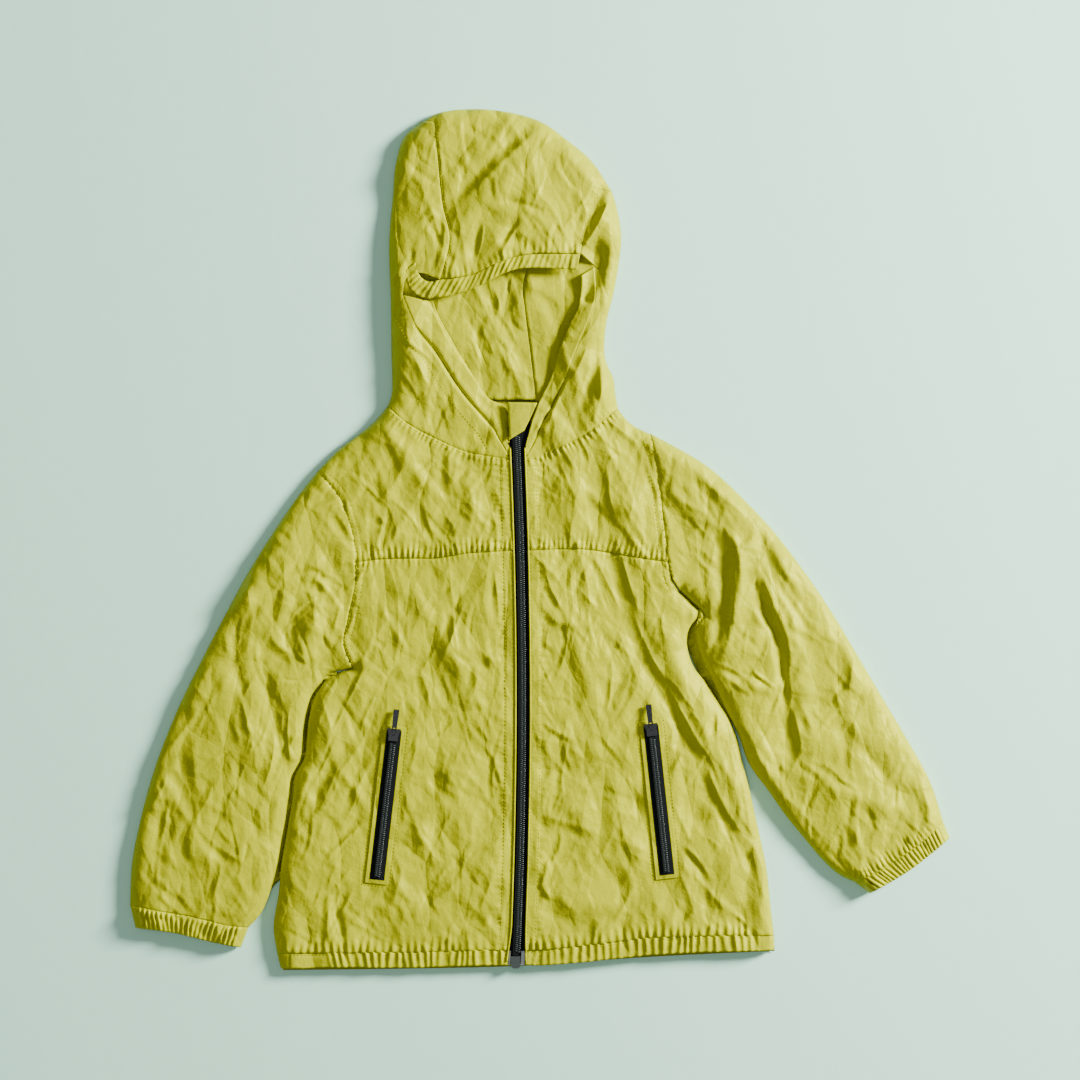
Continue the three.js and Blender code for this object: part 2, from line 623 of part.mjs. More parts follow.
// A sleeve is given as its upper and its lower layer, which meet in the turned edges.
function sleeve(half, name) {
  const { low, high } = ARMHOLE_STEPS[name];
  const place = spread({
    bottom: armhole(half),
    top: half.cuffSeam,
    left: half.sleeveInner,
    right: half.sleeveOuter,
  });
  const seam = [...between(0, 0.5, low), ...between(0.5, 1, high).slice(1)];
  const further = closeAtBoth(SLEEVE_WIDTH, seam.length - 9);
  const upper = blended(seam, further, SLEEVE_SETTLED);
  const seamBelow = between(1, 0, ARMHOLE_BACK_STEPS);
  const lower = blended(seamBelow, TUBE_BELOW, SLEEVE_SETTLED);
  const layer = (shareAt, count, under) => SLEEVE_ROWS.map((t) => (
    Array.from({ length: count + 1 }, (_, i) => (
      { ...place(shareAt(i, t), t), under, turned: i === 0 || i === count }))));
  return {
    above: cloth(layer(upper, seam.length - 1, false), { half: 1 }),
    below: cloth(layer(lower, ARMHOLE_BACK_STEPS, true), { half: -1 }),
  };
}

// Odd places of a gathered stretch stand up and even ones stay down.
const gathered = (first, count) => (place, i, j) => {
  const isCrest = i > first && i < first + count * 2 && (i - first) % 2 === 1;
  return isCrest ? GATHER_DEPTH * (j === 1 ? 1 : 0.7) : 0;
};

function cuff(half) {
  const place = spread({
    bottom: half.cuffSeam,
    top: half.cuffEdge,
    left: half.cuffInner,
    right: half.cuffOuter,
  });
  const near = [0, ...EDGE_STEPS.map((d) => d / CUFF_WIDTH)];
  const gathers = between(0.12, 0.88, GATHERS.cuff * 2);
  const upper = [...near, ...gathers, ...mirrored(near)];
  const rows = tube(place, upper, TUBE_BELOW, [0, 0.5, 1]);
  const raise = gathered(near.length, GATHERS.cuff);
  return cloth(rows, { wall: CASING_WALL, around: true, raise });
}

// ---- hem ----

const HEM_ROWS = [0, 0.45, 1];
const HEM_PLAIN_END = { left: 0.2, right: 0.06 }; // plain stretch beside the side seam

function hemFront(half, name, side) {
  const place = spread({
    bottom: half.hemEdge,
    top: half.hemSeam,
    left: half.hemSide,
    right: zipEdge(side, HEM_EDGE_Y, HEM_SEAM_Y),
  });
  const near = [0, 0.004, 0.015, 0.038];
  const plain = name === "left" ? [...near, 0.1, 0.15] : near;
  const across = [...plain, ...between(HEM_PLAIN_END[name], 0.97, GATHERS.hem * 2), 1];
  const rows = HEM_ROWS.map((t) => across.map((s) => ({ ...place(s, t), turned: s === 0 })));
  const raise = gathered(plain.length, GATHERS.hem);
  return cloth(rows, { wall: CASING_WALL, half: 1, raise });
}

function hemBack() {
  const straight = (from, to) => line([from.x, from.y], [to.x, to.y]);
  const place = spread({
    bottom: backHemEdge,
    top: backHemSeam,
    left: straight(backHemEdge(0), backHemSeam(0)),
    right: straight(backHemEdge(1), backHemSeam(1)),
  });
  const rows = [0, 1].map((t) => BACK_COLUMNS.map((s) => (
    { ...place(s, t), under: true, turned: s === 0 || s === 1 })));
  return cloth(rows, { half: -1 });
}

// ---- hood ----

// The hood is laid out above the neck. Each of its three pieces lies in the upper layer, turns
// over the hood's outer edge, and comes back below as far as the seam inside the hood. Their
// rows meet the same places of the seams between them.
const FACE_END = 0.52; // share of a side piece's inner line that is face opening
const FOLD_END = 0.6; // and where the fold above it ends and the crown seam begins
const FACE_STEPS = 9;
const CROWN_STEPS = 6;
const HOOD_ROWS = [
  ...between(0, FACE_END, FACE_STEPS), ...between(FOLD_END, 1, CROWN_STEPS).slice(0, -1), 0.998,
];
const HOOD_BELOW = [0, 0.02, 0.08, 0.4, 0.7, 1]; // shares from the turned edge to the seam
const HOOD_SIDE_WIDTH = 45;
const CROWN_END = 0.93; // share of the centre piece's upper layer along the crown seams
const CROWN_END_BELOW = 0.05;

function hoodSide(half) {
  const crownEnd = half.crown(1);
  const edgeEnd = half.hoodSide(1);
  const above = spread({
    bottom: reversed(half.neck),
    top: lineTo(crownEnd, edgeEnd),
    left: chain([half.hoodFace, FACE_END], [half.hoodFold, FOLD_END], [half.crown, 1]),
    right: half.hoodSide,
  });
  const below = spread({
    bottom: lineTo(half.neck(0), half.hoodBackSeam(0)),
    top: lineTo(edgeEnd, crownEnd),
    left: half.hoodSide,
    right: half.hoodBackSeam,
  });
  const atNeck = mirrored(FRONT_COLUMNS);
  const further = [...between(0, 0.62, 10), ...mirrored(closeAtStart(HOOD_SIDE_WIDTH, 1)).slice(1)];
  const upper = blended(atNeck, further, 0.2);
  const rows = HOOD_ROWS.map((t) => [
    ...atNeck.map((_, i) => (
      { ...above(upper(i, t), t), turned: i === atNeck.length - 1 })),
    ...HOOD_BELOW.slice(1).map((s) => ({ ...below(s, t), under: true })),
  ]);
  return cloth(rows);
}

function hoodCentre() {
  const above = spread({
    bottom: brimTop,
    top: hoodTop,
    left: chain([LEFT.crown, CROWN_END], [lineTo(LEFT.crown(1), hoodTop(0)), 1]),
    right: chain([RIGHT.crown, CROWN_END], [lineTo(RIGHT.crown(1), hoodTop(1)), 1]),
  });
  const downSeam = (half, end) => chain(
    [lineTo(end, half.crown(1)), CROWN_END_BELOW], [reversed(half.hoodBackSeam), 1],
  );
  const below = spread({
    bottom: hoodTop,
    top: backNeckStrip,
    left: downSeam(LEFT, hoodTop(0)),
    right: downSeam(RIGHT, hoodTop(1)),
  });
  const upper = [...between(0, CROWN_END, CROWN_STEPS), 0.97, 0.992, 1];
  const lower = [
    0.004, 0.02, ...mirrored(HOOD_ROWS).map((t) => CROWN_END_BELOW + (1 - CROWN_END_BELOW) * t),
  ];
  const rows = evenly(11).map((s) => [
    ...upper.map((t, i) => ({ ...above(s, t), turned: i === upper.length - 1 })),
    ...lower.map((t) => ({ ...below(s, t), under: true })),
  ]);
  return cloth(rows);
}

function lineTo(from, to) {
  return line([from.x, from.y], [to.x, to.y]);
}

// A narrow strip between two lines that run the same way.
function strip(first, second, alongShares, acrossShares, options) {
  const place = spread({
    bottom: first,
    top: second,
    left: lineTo(first(0), second(0)),
    right: lineTo(first(1), second(1)),
  });
  return cloth(acrossShares.map((t) => alongShares.map((s) => place(s, t))), options);
}

function hoodBrim() {
  const along = evenly(GATHERS.brim * 2);
  const raise = gathered(0, GATHERS.brim);
  return strip(brimEdge, brimTop, along, [0, 0.5, 1], { wall: CASING_WALL, raise });
}

// The bands beside the face opening. They start at the zip and sink towards their free edge.
const EDGE_BANDS = {
  left: {
    freeEdge: line([-9.4, 86], [-10.4, 112], [-26, 121], [-42, 144.5], [-59, 170], [-76, 203]),
    sink: 6,
  },
  right: {
    freeEdge: line([6, 82], [14, 110], [27, 139], [34, 161], [41.5, 181], [52, 204], [53.5, 228]),
    sink: 2,
  },
};

function edgeBand(half, name) {
  const { freeEdge, sink } = EDGE_BANDS[name];
  const raise = ({ s, t }) => -sink * t * THREE.MathUtils.smoothstep(s, 0.12, 0.4);
  const along = [...evenly(FACE_STEPS).slice(0, -1), 0.98];
  return strip(half.hoodFace, freeEdge, along, [0, 0.5, 1], { raise });
}

// The collar's fold over the top of the zip.
const GUARD = { lift: 4.4, wall: 1.4 }; // it passes over the closed slider

function zipGuard() {
  const place = spread({
    bottom: line([-8.4, 85], [4.6, 93]),
    top: line([-9.6, 117], [15.5, 116.5]),
    left: line([-8.4, 85], [-9.6, 117]),
    right: line([4.6, 93], [8, 101], [15.5, 116.5]),
  });
  const rows = evenly(4).map((t) => evenly(4).map((s) => place(s, t)));
  return cloth(rows, { wall: GUARD.wall, raise: () => GUARD.lift });
}

// ---- front zip ----

const TAPE_DROP = WALL + SEAM_GAP; // the tapes lie below the fronts' turned edges

function zipTape(side) {
  const inner = (t) => zipPlace(side * (SEAM_GAP / 2), HEM_EDGE_Y + 1, ZIP_TOP_Y, t);
  const outer = (t) => zipPlace(side * TAPE_WIDTH, HEM_EDGE_Y + 1, ZIP_TOP_Y, t);
  const raise = () => -TAPE_DROP - TURNED_LIFT;
  return strip(inner, outer, evenly(22), [0, 0.5, 1], { wall: TAPE_WALL, raise });
}

function zipPlace(offset, fromY, toY, t) {
  const y = fromY + (toY - fromY) * t;
  return new THREE.Vector2(zipX(y) + offset, y);
}

function zipChain() {
  const edge = (side) => (t) => zipPlace(
    CHAIN_OFFSET + (side * CHAIN_WIDTH) / 2, CHAIN_END_Y, ZIP_TOP_Y - 4, t,
  );
  const wall = CHAIN_PROUD + TAPE_DROP + TURNED_LIFT - SEAM_GAP;
  return strip(edge(-1), edge(1), evenly(22), [0, 0.5, 1], { wall, raise: () => CHAIN_PROUD });
}

// The slider's body rides on the chain, and its bail stands on the body. Measured in the
// slider's own axes: x across the zip, y up along it, z out of the cloth.
const SLIDER = {
  width: 9.2,
  length: 10.5,
  plate: 1, // thickness over the chain
  proud: 1.5, // a closed slider reaches this far over the end of its window
  clearance: 0.4,
};
const BAIL = { width: 1.6, post: 1, bar: 1, hole: 3.4, holeHeight: 2.2, y: 2.2 };
const PULL = { width: 4.8, thickness: 1, length: 20, eye: 3.9, arm: 1.1, crossbar: 1 };

// A flat outline in x and y (or, for a section, whatever its plane is) given some thickness.
function plate(rows, depth, hole = []) {
  const shape = new THREE.Shape(rows.map(([x, y]) => new THREE.Vector2(x, y)));
  if (hole.length) shape.holes.push(new THREE.Path(hole.map(([x, y]) => new THREE.Vector2(x, y))));
  return new THREE.ExtrudeGeometry(shape, { depth, bevelEnabled: false, curveSegments: 6 });
}

function solidOf(geometry) {
  const bare = geometry.clone();
  bare.deleteAttribute("normal");
  bare.deleteAttribute("uv");
  const merged = mergeVertices(bare, 1e-3);
  return new wasm.Manifold(new wasm.Mesh({
    numProp: 3,
    vertProperties: new Float32Array(merged.getAttribute("position").array),
    triVerts: new Uint32Array(merged.getIndex().array),
  }));
}

function geometryOf(solid) {
  const mesh = solid.getMesh();
  const geometry = new THREE.BufferGeometry();
  geometry.setAttribute("position", new THREE.BufferAttribute(mesh.vertProperties, 3));
  geometry.setIndex(new THREE.BufferAttribute(mesh.triVerts, 1));
  return geometry;
}

// A section in x and z drawn out along y, around y = 0.
function drawnAlongY(rows, length) {
  return plate(rows, length).rotateX(Math.PI / 2).translate(0, length / 2, 0);
}

// The body: a channel that the chain runs through, below a plate with the bail on it.
// "chainWidth" and "chainTop" are the chain's, and "floor" is the lowest place of the flanges.
function channel(chainWidth, chainTop, floor) {
  const half = SLIDER.width / 2;
  const inside = chainWidth / 2 + SLIDER.clearance;
  const roof = chainTop + SLIDER.clearance;
  const top = plateTop(chainTop);
  const section = [
    [-half, floor], [-inside, floor], [-inside, roof], [inside, roof], [inside, floor],
    [half, floor], [half, top - 0.4], [half - 0.6, top], [-half + 0.6, top], [-half, top - 0.4],
  ];
  return drawnAlongY(section, SLIDER.length);
}

function withBail(body, top) {
  const reach = BAIL.hole / 2 + BAIL.post;
  const rise = BAIL.holeHeight + BAIL.bar;
  const sunk = 0.5; // the bail's feet go into the plate
  const arch = [
    [-reach, -sunk], [-BAIL.hole / 2, -sunk], [-BAIL.hole / 2, BAIL.holeHeight],
    [BAIL.hole / 2, BAIL.holeHeight], [BAIL.hole / 2, -sunk], [reach, -sunk],
    [reach, rise - 0.7], [reach - 0.7, rise], [-reach + 0.7, rise], [-reach, rise - 0.7],
  ];
  const bail = plate(arch, BAIL.width)
    .translate(0, 0, -BAIL.width / 2)
    .rotateY(Math.PI / 2)
    .rotateX(Math.PI / 2)
    .translate(0, BAIL.y, top);
  return geometryOf(solidOf(body).add(solidOf(bail)));
}

// The height of the slider's plate, which the bail stands on.
const plateTop = (chainTop) => chainTop + SLIDER.clearance + SLIDER.plate;

// The pull lies along +y from its crossbar, which passes through the bail.
function pullGeometry() {
  const half = PULL.width / 2;
  const near = -PULL.crossbar / 2;
  const end = PULL.length + near;
  const rows = [
    [-half, near], [half, near], [half, end - 0.8], [half - 0.8, end], [-half + 0.8, end],
    [-half, end - 0.8],
  ];
  const inside = half - PULL.arm;
  const eye = [
    [-inside, PULL.crossbar / 2], [-inside, PULL.eye], [inside, PULL.eye],
    [inside, PULL.crossbar / 2],
  ];
  return plate(rows, PULL.thickness, eye).translate(0, 0, -PULL.thickness / 2);
}

// Axes that stand on the cloth: x across the zip and level, y up along it, z out of the cloth.
function axesOn(at, direction) {
  const across = new THREE.Vector2(direction.y, -direction.x);
  const reach = SLIDER.length / 2;
  const height = (k) => lie({ x: at.x + direction.x * k, y: at.y + direction.y * k }).point.z;
  const rise = (height(reach) - height(-reach)) / (2 * reach);
  const xAxis = new THREE.Vector3(across.x, across.y, 0);
  const yAxis = new THREE.Vector3(direction.x, direction.y, rise).normalize();
  const zAxis = new THREE.Vector3().crossVectors(xAxis, yAxis);
  const middle = (height(reach) + height(-reach)) / 2;
  return new THREE.Matrix4().makeBasis(xAxis, yAxis, zAxis).setPosition(at.x, at.y, middle);
}

function placed(mesh, matrix) {
  mesh.applyMatrix4(matrix);
  return mesh;
}

// ---- pockets ----

const POCKETS = {
  left: { top: [-106, -161.5], bottom: [-121, -289] },
  right: { top: [112, -159], bottom: [125.5, -283] },
};
const PULL_TILT = { left: 0.1, right: 0.1 }; // the pull sinks towards the cloth, radians
const POCKET_STEPS = 9;

function addPocket(name) {
  const { top, bottom } = POCKETS[name];
  const up = new THREE.Vector2(top[0] - bottom[0], top[1] - bottom[1]).normalize();
  const across = new THREE.Vector2(up.y, -up.x);
  const centre = new THREE.Vector2((top[0] + bottom[0]) / 2, (top[1] + bottom[1]) / 2);
  const at = (u, v) => centre.clone().addScaledVector(across, u).addScaledVector(up, v);

  const half = { width: POCKET_WINDOW / 2, length: POCKET_LENGTH / 2 };
  const raisedStrip = (width, from, to, lift, wall) => strip(
    (s) => at(-width / 2, from + (to - from) * s),
    (s) => at(width / 2, from + (to - from) * s),
    evenly(POCKET_STEPS), [0, 0.5, 1], { wall, raise: () => lift },
  );

  const frame = (grow) => {
    const w = half.width + grow;
    const l = half.length + grow;
    const upSide = between(-l, l, POCKET_STEPS);
    return [
      ...upSide.map((v) => at(w, v)), at(0, l),
      ...upSide.map((v) => at(-w, v)).reverse(), at(0, -l),
    ];
  };
  const welt = [frame(0), frame(POCKET_WELT)].map((ring) => ring.map(({ x, y }) => ({ x, y })));
  const lift = WALL + SEAM_GAP;
  add(`pocket_${name}_welt`, cloth(welt, { around: true, raise: () => lift }), CLOTH);

  const inset = SEAM_GAP / 2;
  const tape = raisedStrip(
    POCKET_WINDOW, -half.length, half.length, POCKET_TAPE_TOP, TAPE_WALL,
  );
  add(`pocket_${name}_tape`, tape, ZIP_TAPE);
  const chainWall = POCKET_CHAIN_TOP - POCKET_TAPE_TOP - SEAM_GAP;
  const chainRun = raisedStrip(
    POCKET_CHAIN, -half.length + 2, half.length - 2 - inset, POCKET_CHAIN_TOP, chainWall,
  );
  add(`pocket_${name}_chain`, chainRun, ZIP_PLASTIC);

  const slot = at(0, half.length - SLIDER.length / 2 + SLIDER.proud);
  const axes = axesOn(slot, up);
  const floor = POCKET_TAPE_TOP + SLIDER.clearance;
  const deck = plateTop(POCKET_CHAIN_TOP);
  const body = withBail(channel(POCKET_CHAIN, POCKET_CHAIN_TOP, floor), deck);
  placed(add(`pocket_${name}_slider`, body, ZIP_METAL), axes);
  const pull = new THREE.Matrix4()
    .makeTranslation(0, BAIL.y, deck + BAIL.holeHeight / 2)
    .multiply(new THREE.Matrix4().makeRotationX(-PULL_TILT[name]));
  placed(add(`pocket_${name}_pull`, pullGeometry(), ZIP_METAL), axes.clone().multiply(pull));
}

// ---- the front zip's ends ----

const ZIP_SLIDER_Y = 97;
const ZIP_BOX = { width: 8, fromY: -364.2, toY: -354, height: 3.2, corner: 1.8 };
const FILM = { fromY: -361.8, toY: -349.5, top: -1, wall: 0.7, clearance: 0.4 };

function addZipEnds() {
  const up = new THREE.Vector2(0, 1);
  const onZip = (y) => axesOn(new THREE.Vector2(zipX(y) + CHAIN_OFFSET, y), up);
  const floor = SLIDER.clearance - TAPE_DROP - TURNED_LIFT;
  const body = channel(CHAIN_WIDTH, CHAIN_PROUD, floor);
  placed(add("zip_slider", body, ZIP_METAL), onZip(ZIP_SLIDER_Y));

  const half = ZIP_BOX.width / 2;
  const reach = (ZIP_BOX.toY - ZIP_BOX.fromY) / 2;
  const { corner } = ZIP_BOX;
  const outline = [
    [-half + corner, -reach], [half - corner, -reach], [half, -reach + corner], [half, reach],
    [-half, reach], [-half, -reach + corner],
  ];
  const box = plate(outline, ZIP_BOX.height).translate(0, 0, floor);
  placed(add("zip_bottom_box", box, ZIP_PLASTIC), onZip(ZIP_BOX.toY - reach));
}

// The patch that stiffens the tape, between the bottom box and the front's edge.
function filmPatch(side) {
  const yAt = (t) => FILM.fromY + (FILM.toY - FILM.fromY) * t;
  const boxSide = CHAIN_OFFSET + side * (ZIP_BOX.width / 2 + FILM.clearance);
  const inner = (t) => new THREE.Vector2(zipX(yAt(t)) + boxSide, yAt(t));
  const outer = (t) => {
    const edge = zipEdgeAt(side, yAt(t));
    return edge.setX(edge.x - side * FILM.clearance);
  };
  return strip(inner, outer, evenly(2), [0, 0.5, 1], { wall: FILM.wall, raise: () => FILM.top });
}

// ---- the whole ----

for (const [name, half, side] of [["left", LEFT, -1], ["right", RIGHT, 1]]) {
  add(`front_${name}`, frontPanel(half, name, side), CLOTH);
  add(`yoke_${name}`, yoke(half, name, side), CLOTH);
  const { above, below } = sleeve(half, name);
  add(`sleeve_${name}`, above, CLOTH);
  add(`sleeve_${name}_under`, below, CLOTH);
  add(`cuff_${name}`, cuff(half), CLOTH);
  add(`hem_front_${name}`, hemFront(half, name, side), CLOTH);
  add(`hood_side_${name}`, hoodSide(half), CLOTH);
  add(`hood_edge_${name}`, edgeBand(half, name), CLOTH_INSIDE);
  add(`zip_tape_${name}`, zipTape(side), ZIP_TAPE);
  add(`zip_film_${name}`, filmPatch(side), PATCH_LOOK);
  addPocket(name);
}
add("back", backPanel(), CLOTH_INSIDE);
add("hem_back", hemBack(), CLOTH_INSIDE);
add("hood_centre", hoodCentre(), CLOTH);
add("hood_brim", hoodBrim(), CLOTH);
add("zip_guard", zipGuard(), CLOTH);
add("zip_chain", zipChain(), ZIP_PLASTIC);
addZipEnds();

export default group;
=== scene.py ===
# %% [markdown]
# # A child's hooded windbreaker, laid flat
# The jacket lies on its back on a pale surface, zipped up, with its sleeves spread and its
# hood laid out above the collar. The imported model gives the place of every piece. This script
# adds what the hard model leaves out: thin crinkled cloth, seams with their puckers, stitches,
# zip coils and finishes.

import json

import bpy
import numpy as np
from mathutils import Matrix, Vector
from mathutils.bvhtree import BVHTree

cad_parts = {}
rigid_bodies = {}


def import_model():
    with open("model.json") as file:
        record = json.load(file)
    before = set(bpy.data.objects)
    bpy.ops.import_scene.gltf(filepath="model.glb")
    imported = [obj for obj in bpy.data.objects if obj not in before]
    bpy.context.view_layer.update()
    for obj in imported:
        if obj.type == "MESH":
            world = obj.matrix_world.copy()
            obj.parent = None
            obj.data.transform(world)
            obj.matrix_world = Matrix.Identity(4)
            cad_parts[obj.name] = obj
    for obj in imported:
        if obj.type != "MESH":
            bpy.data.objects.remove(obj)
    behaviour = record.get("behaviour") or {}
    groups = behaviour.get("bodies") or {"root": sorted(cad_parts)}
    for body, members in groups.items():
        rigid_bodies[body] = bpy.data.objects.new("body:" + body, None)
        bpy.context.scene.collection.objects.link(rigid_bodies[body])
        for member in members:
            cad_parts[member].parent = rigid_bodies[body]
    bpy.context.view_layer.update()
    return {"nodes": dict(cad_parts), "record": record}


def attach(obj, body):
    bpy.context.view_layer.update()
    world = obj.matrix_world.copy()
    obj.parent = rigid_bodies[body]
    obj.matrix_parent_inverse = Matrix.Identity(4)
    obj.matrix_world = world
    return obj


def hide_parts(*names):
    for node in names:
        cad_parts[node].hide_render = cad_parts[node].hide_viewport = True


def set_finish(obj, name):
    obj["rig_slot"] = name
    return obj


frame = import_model()
nodes = frame["nodes"]

# %% [markdown]
# ## The lines of the cut
# A maker starts from a pattern: lines along which the cloth is cut, sewn or turned over. All
# are in millimetres, as x and y on the surface, and a smooth curve runs through each row.

# %% smooth lines
SAMPLES = 480


def catmull(points, count=SAMPLES):
    """Samples a smooth curve through the points, with the same number of samples between each two.
    """
    p = np.asarray(points, float)
    last = len(p) - 1
    u = np.linspace(0, last, count)
    i = np.minimum(u.astype(int), last - 1)
    w = (u - i)[:, None]
    a, b = p[np.maximum(i - 1, 0)], p[i]
    c, d = p[i + 1], p[np.minimum(i + 2, last)]
    v0, v1 = (c - a) / 2, (d - b) / 2
    return (2 * b - 2 * c + v0 + v1) * w**3 + (3 * c - 3 * b - 2 * v0 - v1) * w**2 + v0 * w + b


def lengths(points):
    steps = np.linalg.norm(np.diff(points, axis=0), axis=1)
    return np.concatenate([[0], np.cumsum(steps)])


def line(*rows):
    """A smooth line through the rows. It is called with shares of its length."""
    pts = catmull(rows)
    run = lengths(pts)
    run /= run[-1]

    def at(t):
        t = np.clip(t, 0, 1)
        return np.stack([np.interp(t, run, pts[:, 0]), np.interp(t, run, pts[:, 1])], -1)

    return at


def chain(*parts):
    """Lines joined end to end, each with the share of the whole at which it ends."""

    def at(t):
        t = np.asarray(t, float)
        out = np.zeros(t.shape + (2,))
        start = 0.0
        for run, end in parts:
            inside = (t >= start - 1e-9) & (t <= end + 1e-9)
            out[inside] = run((t[inside] - start) / (end - start))
            start = end
        return out

    return at


def back_along(run):
    return lambda t: run(1 - np.asarray(t))


def start_of(run):
    return run(np.array([0.0]))[0]


def end_of(run):
    return run(np.array([1.0]))[0]


def straight(a, b):
    return line(list(a), list(b))


def sampled(run, count=160):
    return run(np.linspace(0, 1, count))


# %% the front zip's line
NECK_Y, YOKE_Y, HEM_SEAM_Y, HEM_Y = 68.5, -9.0, -350.0, -361.6
ZIP_X, ZIP_BOW, ZIP_MIDDLE, ZIP_REACH = 3.4, 5.2, -136, 225  # the zip lies in a slight bow
ZIP_HALF = 5.8  # from the middle of the zip to the turned edge of a front
FLARE_Y, FLARE_LENGTH = -325, 38  # where the edges begin to part, and over what length


def zip_x(y):
    return ZIP_X - ZIP_BOW * ((np.asarray(y, float) - ZIP_MIDDLE) / ZIP_REACH) ** 2


def smooth(x):
    x = np.clip(x, 0, 1)
    return x * x * (3 - 2 * x)


def zip_edge_x(side, y):
    """The turned edge of a front beside the zip. The edges part a little at the hem."""
    flare = 2.4 if side < 0 else 1.2
    parted = smooth((FLARE_Y - np.asarray(y, float)) / FLARE_LENGTH)
    return zip_x(y) + side * (ZIP_HALF + flare * parted)


def at_zip(side, y):
    return [float(zip_edge_x(side, y)), y]


def zip_edge(side, start, end):
    def at(t):
        y = start + (end - start) * np.asarray(t, float)
        return np.stack([zip_edge_x(side, y), y], -1)

    return at


# %% the left and right halves, as the viewer sees them
L = dict(
    side=line([-206, -352], [-209, -329], [-204.6, -300], [-202.4, -276], [-196, -239],
              [-192.6, -217], [-190.6, -201], [-183, -186], [-181.4, -175], [-179.4, -154],
              [-174.8, -135.5], [-168.5, -125], [-162, -117.5], [-153, -113.3], [-141, -109]),
    hem_side=line([-203, -364.8], [-206, -352]),
    armhole_low=line([-141, -109], [-149, -89], [-146, -70], [-139, -37], [-139, -19]),
    armhole_high=line([-139, -19], [-139.5, -5], [-144, 15], [-153, 37], [-171.5, 58.6]),
    shoulder=line([-171.5, 58.6], [-153.4, 77], [-137.3, 89], [-122.8, 101], [-112, 114]),
    sleeve_inner=line([-142.5, -109.5], [-153.5, -111.5], [-163.5, -114.8], [-170.8, -124],
                      [-177.4, -134.5], [-182.2, -154], [-184.2, -175], [-185.8, -187],
                      [-193.8, -202], [-195.8, -219], [-199, -239], [-205.6, -276],
                      [-208.8, -290], [-214.6, -307], [-220.6, -319], [-230.5, -330]),
    sleeve_outer=line([-171.5, 58.6], [-189.8, 35], [-214.2, -1], [-234.2, -34], [-252.5, -68],
                      [-270.2, -102], [-287, -136], [-301.5, -170], [-313.4, -204],
                      [-322.4, -238], [-329.6, -274], [-331.3, -311]),
    cuff_seam=line([-230.5, -330], [-250, -327.4], [-275, -321.4], [-303, -316.2],
                   [-331.3, -311]),
    cuff_inner=line([-230.5, -330], [-236.8, -346.8]),
    cuff_outer=line([-331.3, -311], [-326.8, -330]),
    cuff_edge=line([-236.8, -346.8], [-262, -341.8], [-288, -335.2], [-308, -332],
                   [-326.8, -330]),
    yoke_seam=line([-139, -19], [-118, -16.6], [-89, -15.8], [-73, -16], [-59.6, -14.2],
                   [-44, -11.6], [-24.5, -10.3], at_zip(-1, YOKE_Y)),
    neck=line([-112, 114], [-93, 98], [-64, 83], [-41, 74], at_zip(-1, NECK_Y)),
    hem_seam=line([-206, -352], [-152, -351.6], [-101, -351.4], [-67, -350.8], [-33, -349.6],
                  at_zip(-1, HEM_SEAM_Y)),
    hem_edge=line([-203, -364.8], [-152, -363.4], [-101, -363.8], [-67, -363], [-33, -361.8],
                  at_zip(-1, HEM_Y)),
    hood_side=line([-112, 114], [-108.2, 127], [-108.8, 162], [-109.4, 204], [-110.8, 245],
                   [-109.8, 269], [-107.5, 293], [-105.6, 317], [-99, 341], [-86.6, 353],
                   [-81, 356.5]),
    hood_face=line(at_zip(-1, NECK_Y), [-16.5, 84.5], [-24.3, 97.7], [-48.3, 126], [-71.3, 161],
                   [-87.3, 181], [-99, 208]),
    hood_fold=line([-99, 208], [-96, 222], [-84, 227], [-67, 221]),
    crown=line([-67, 221], [-59, 255], [-65, 285], [-69, 323], [-72, 355.5]),
    hood_back_seam=line([-35, 119.5], [-42, 144], [-57, 170], [-73, 204], [-76, 250],
                        [-74, 310], [-72, 355.5]),
)
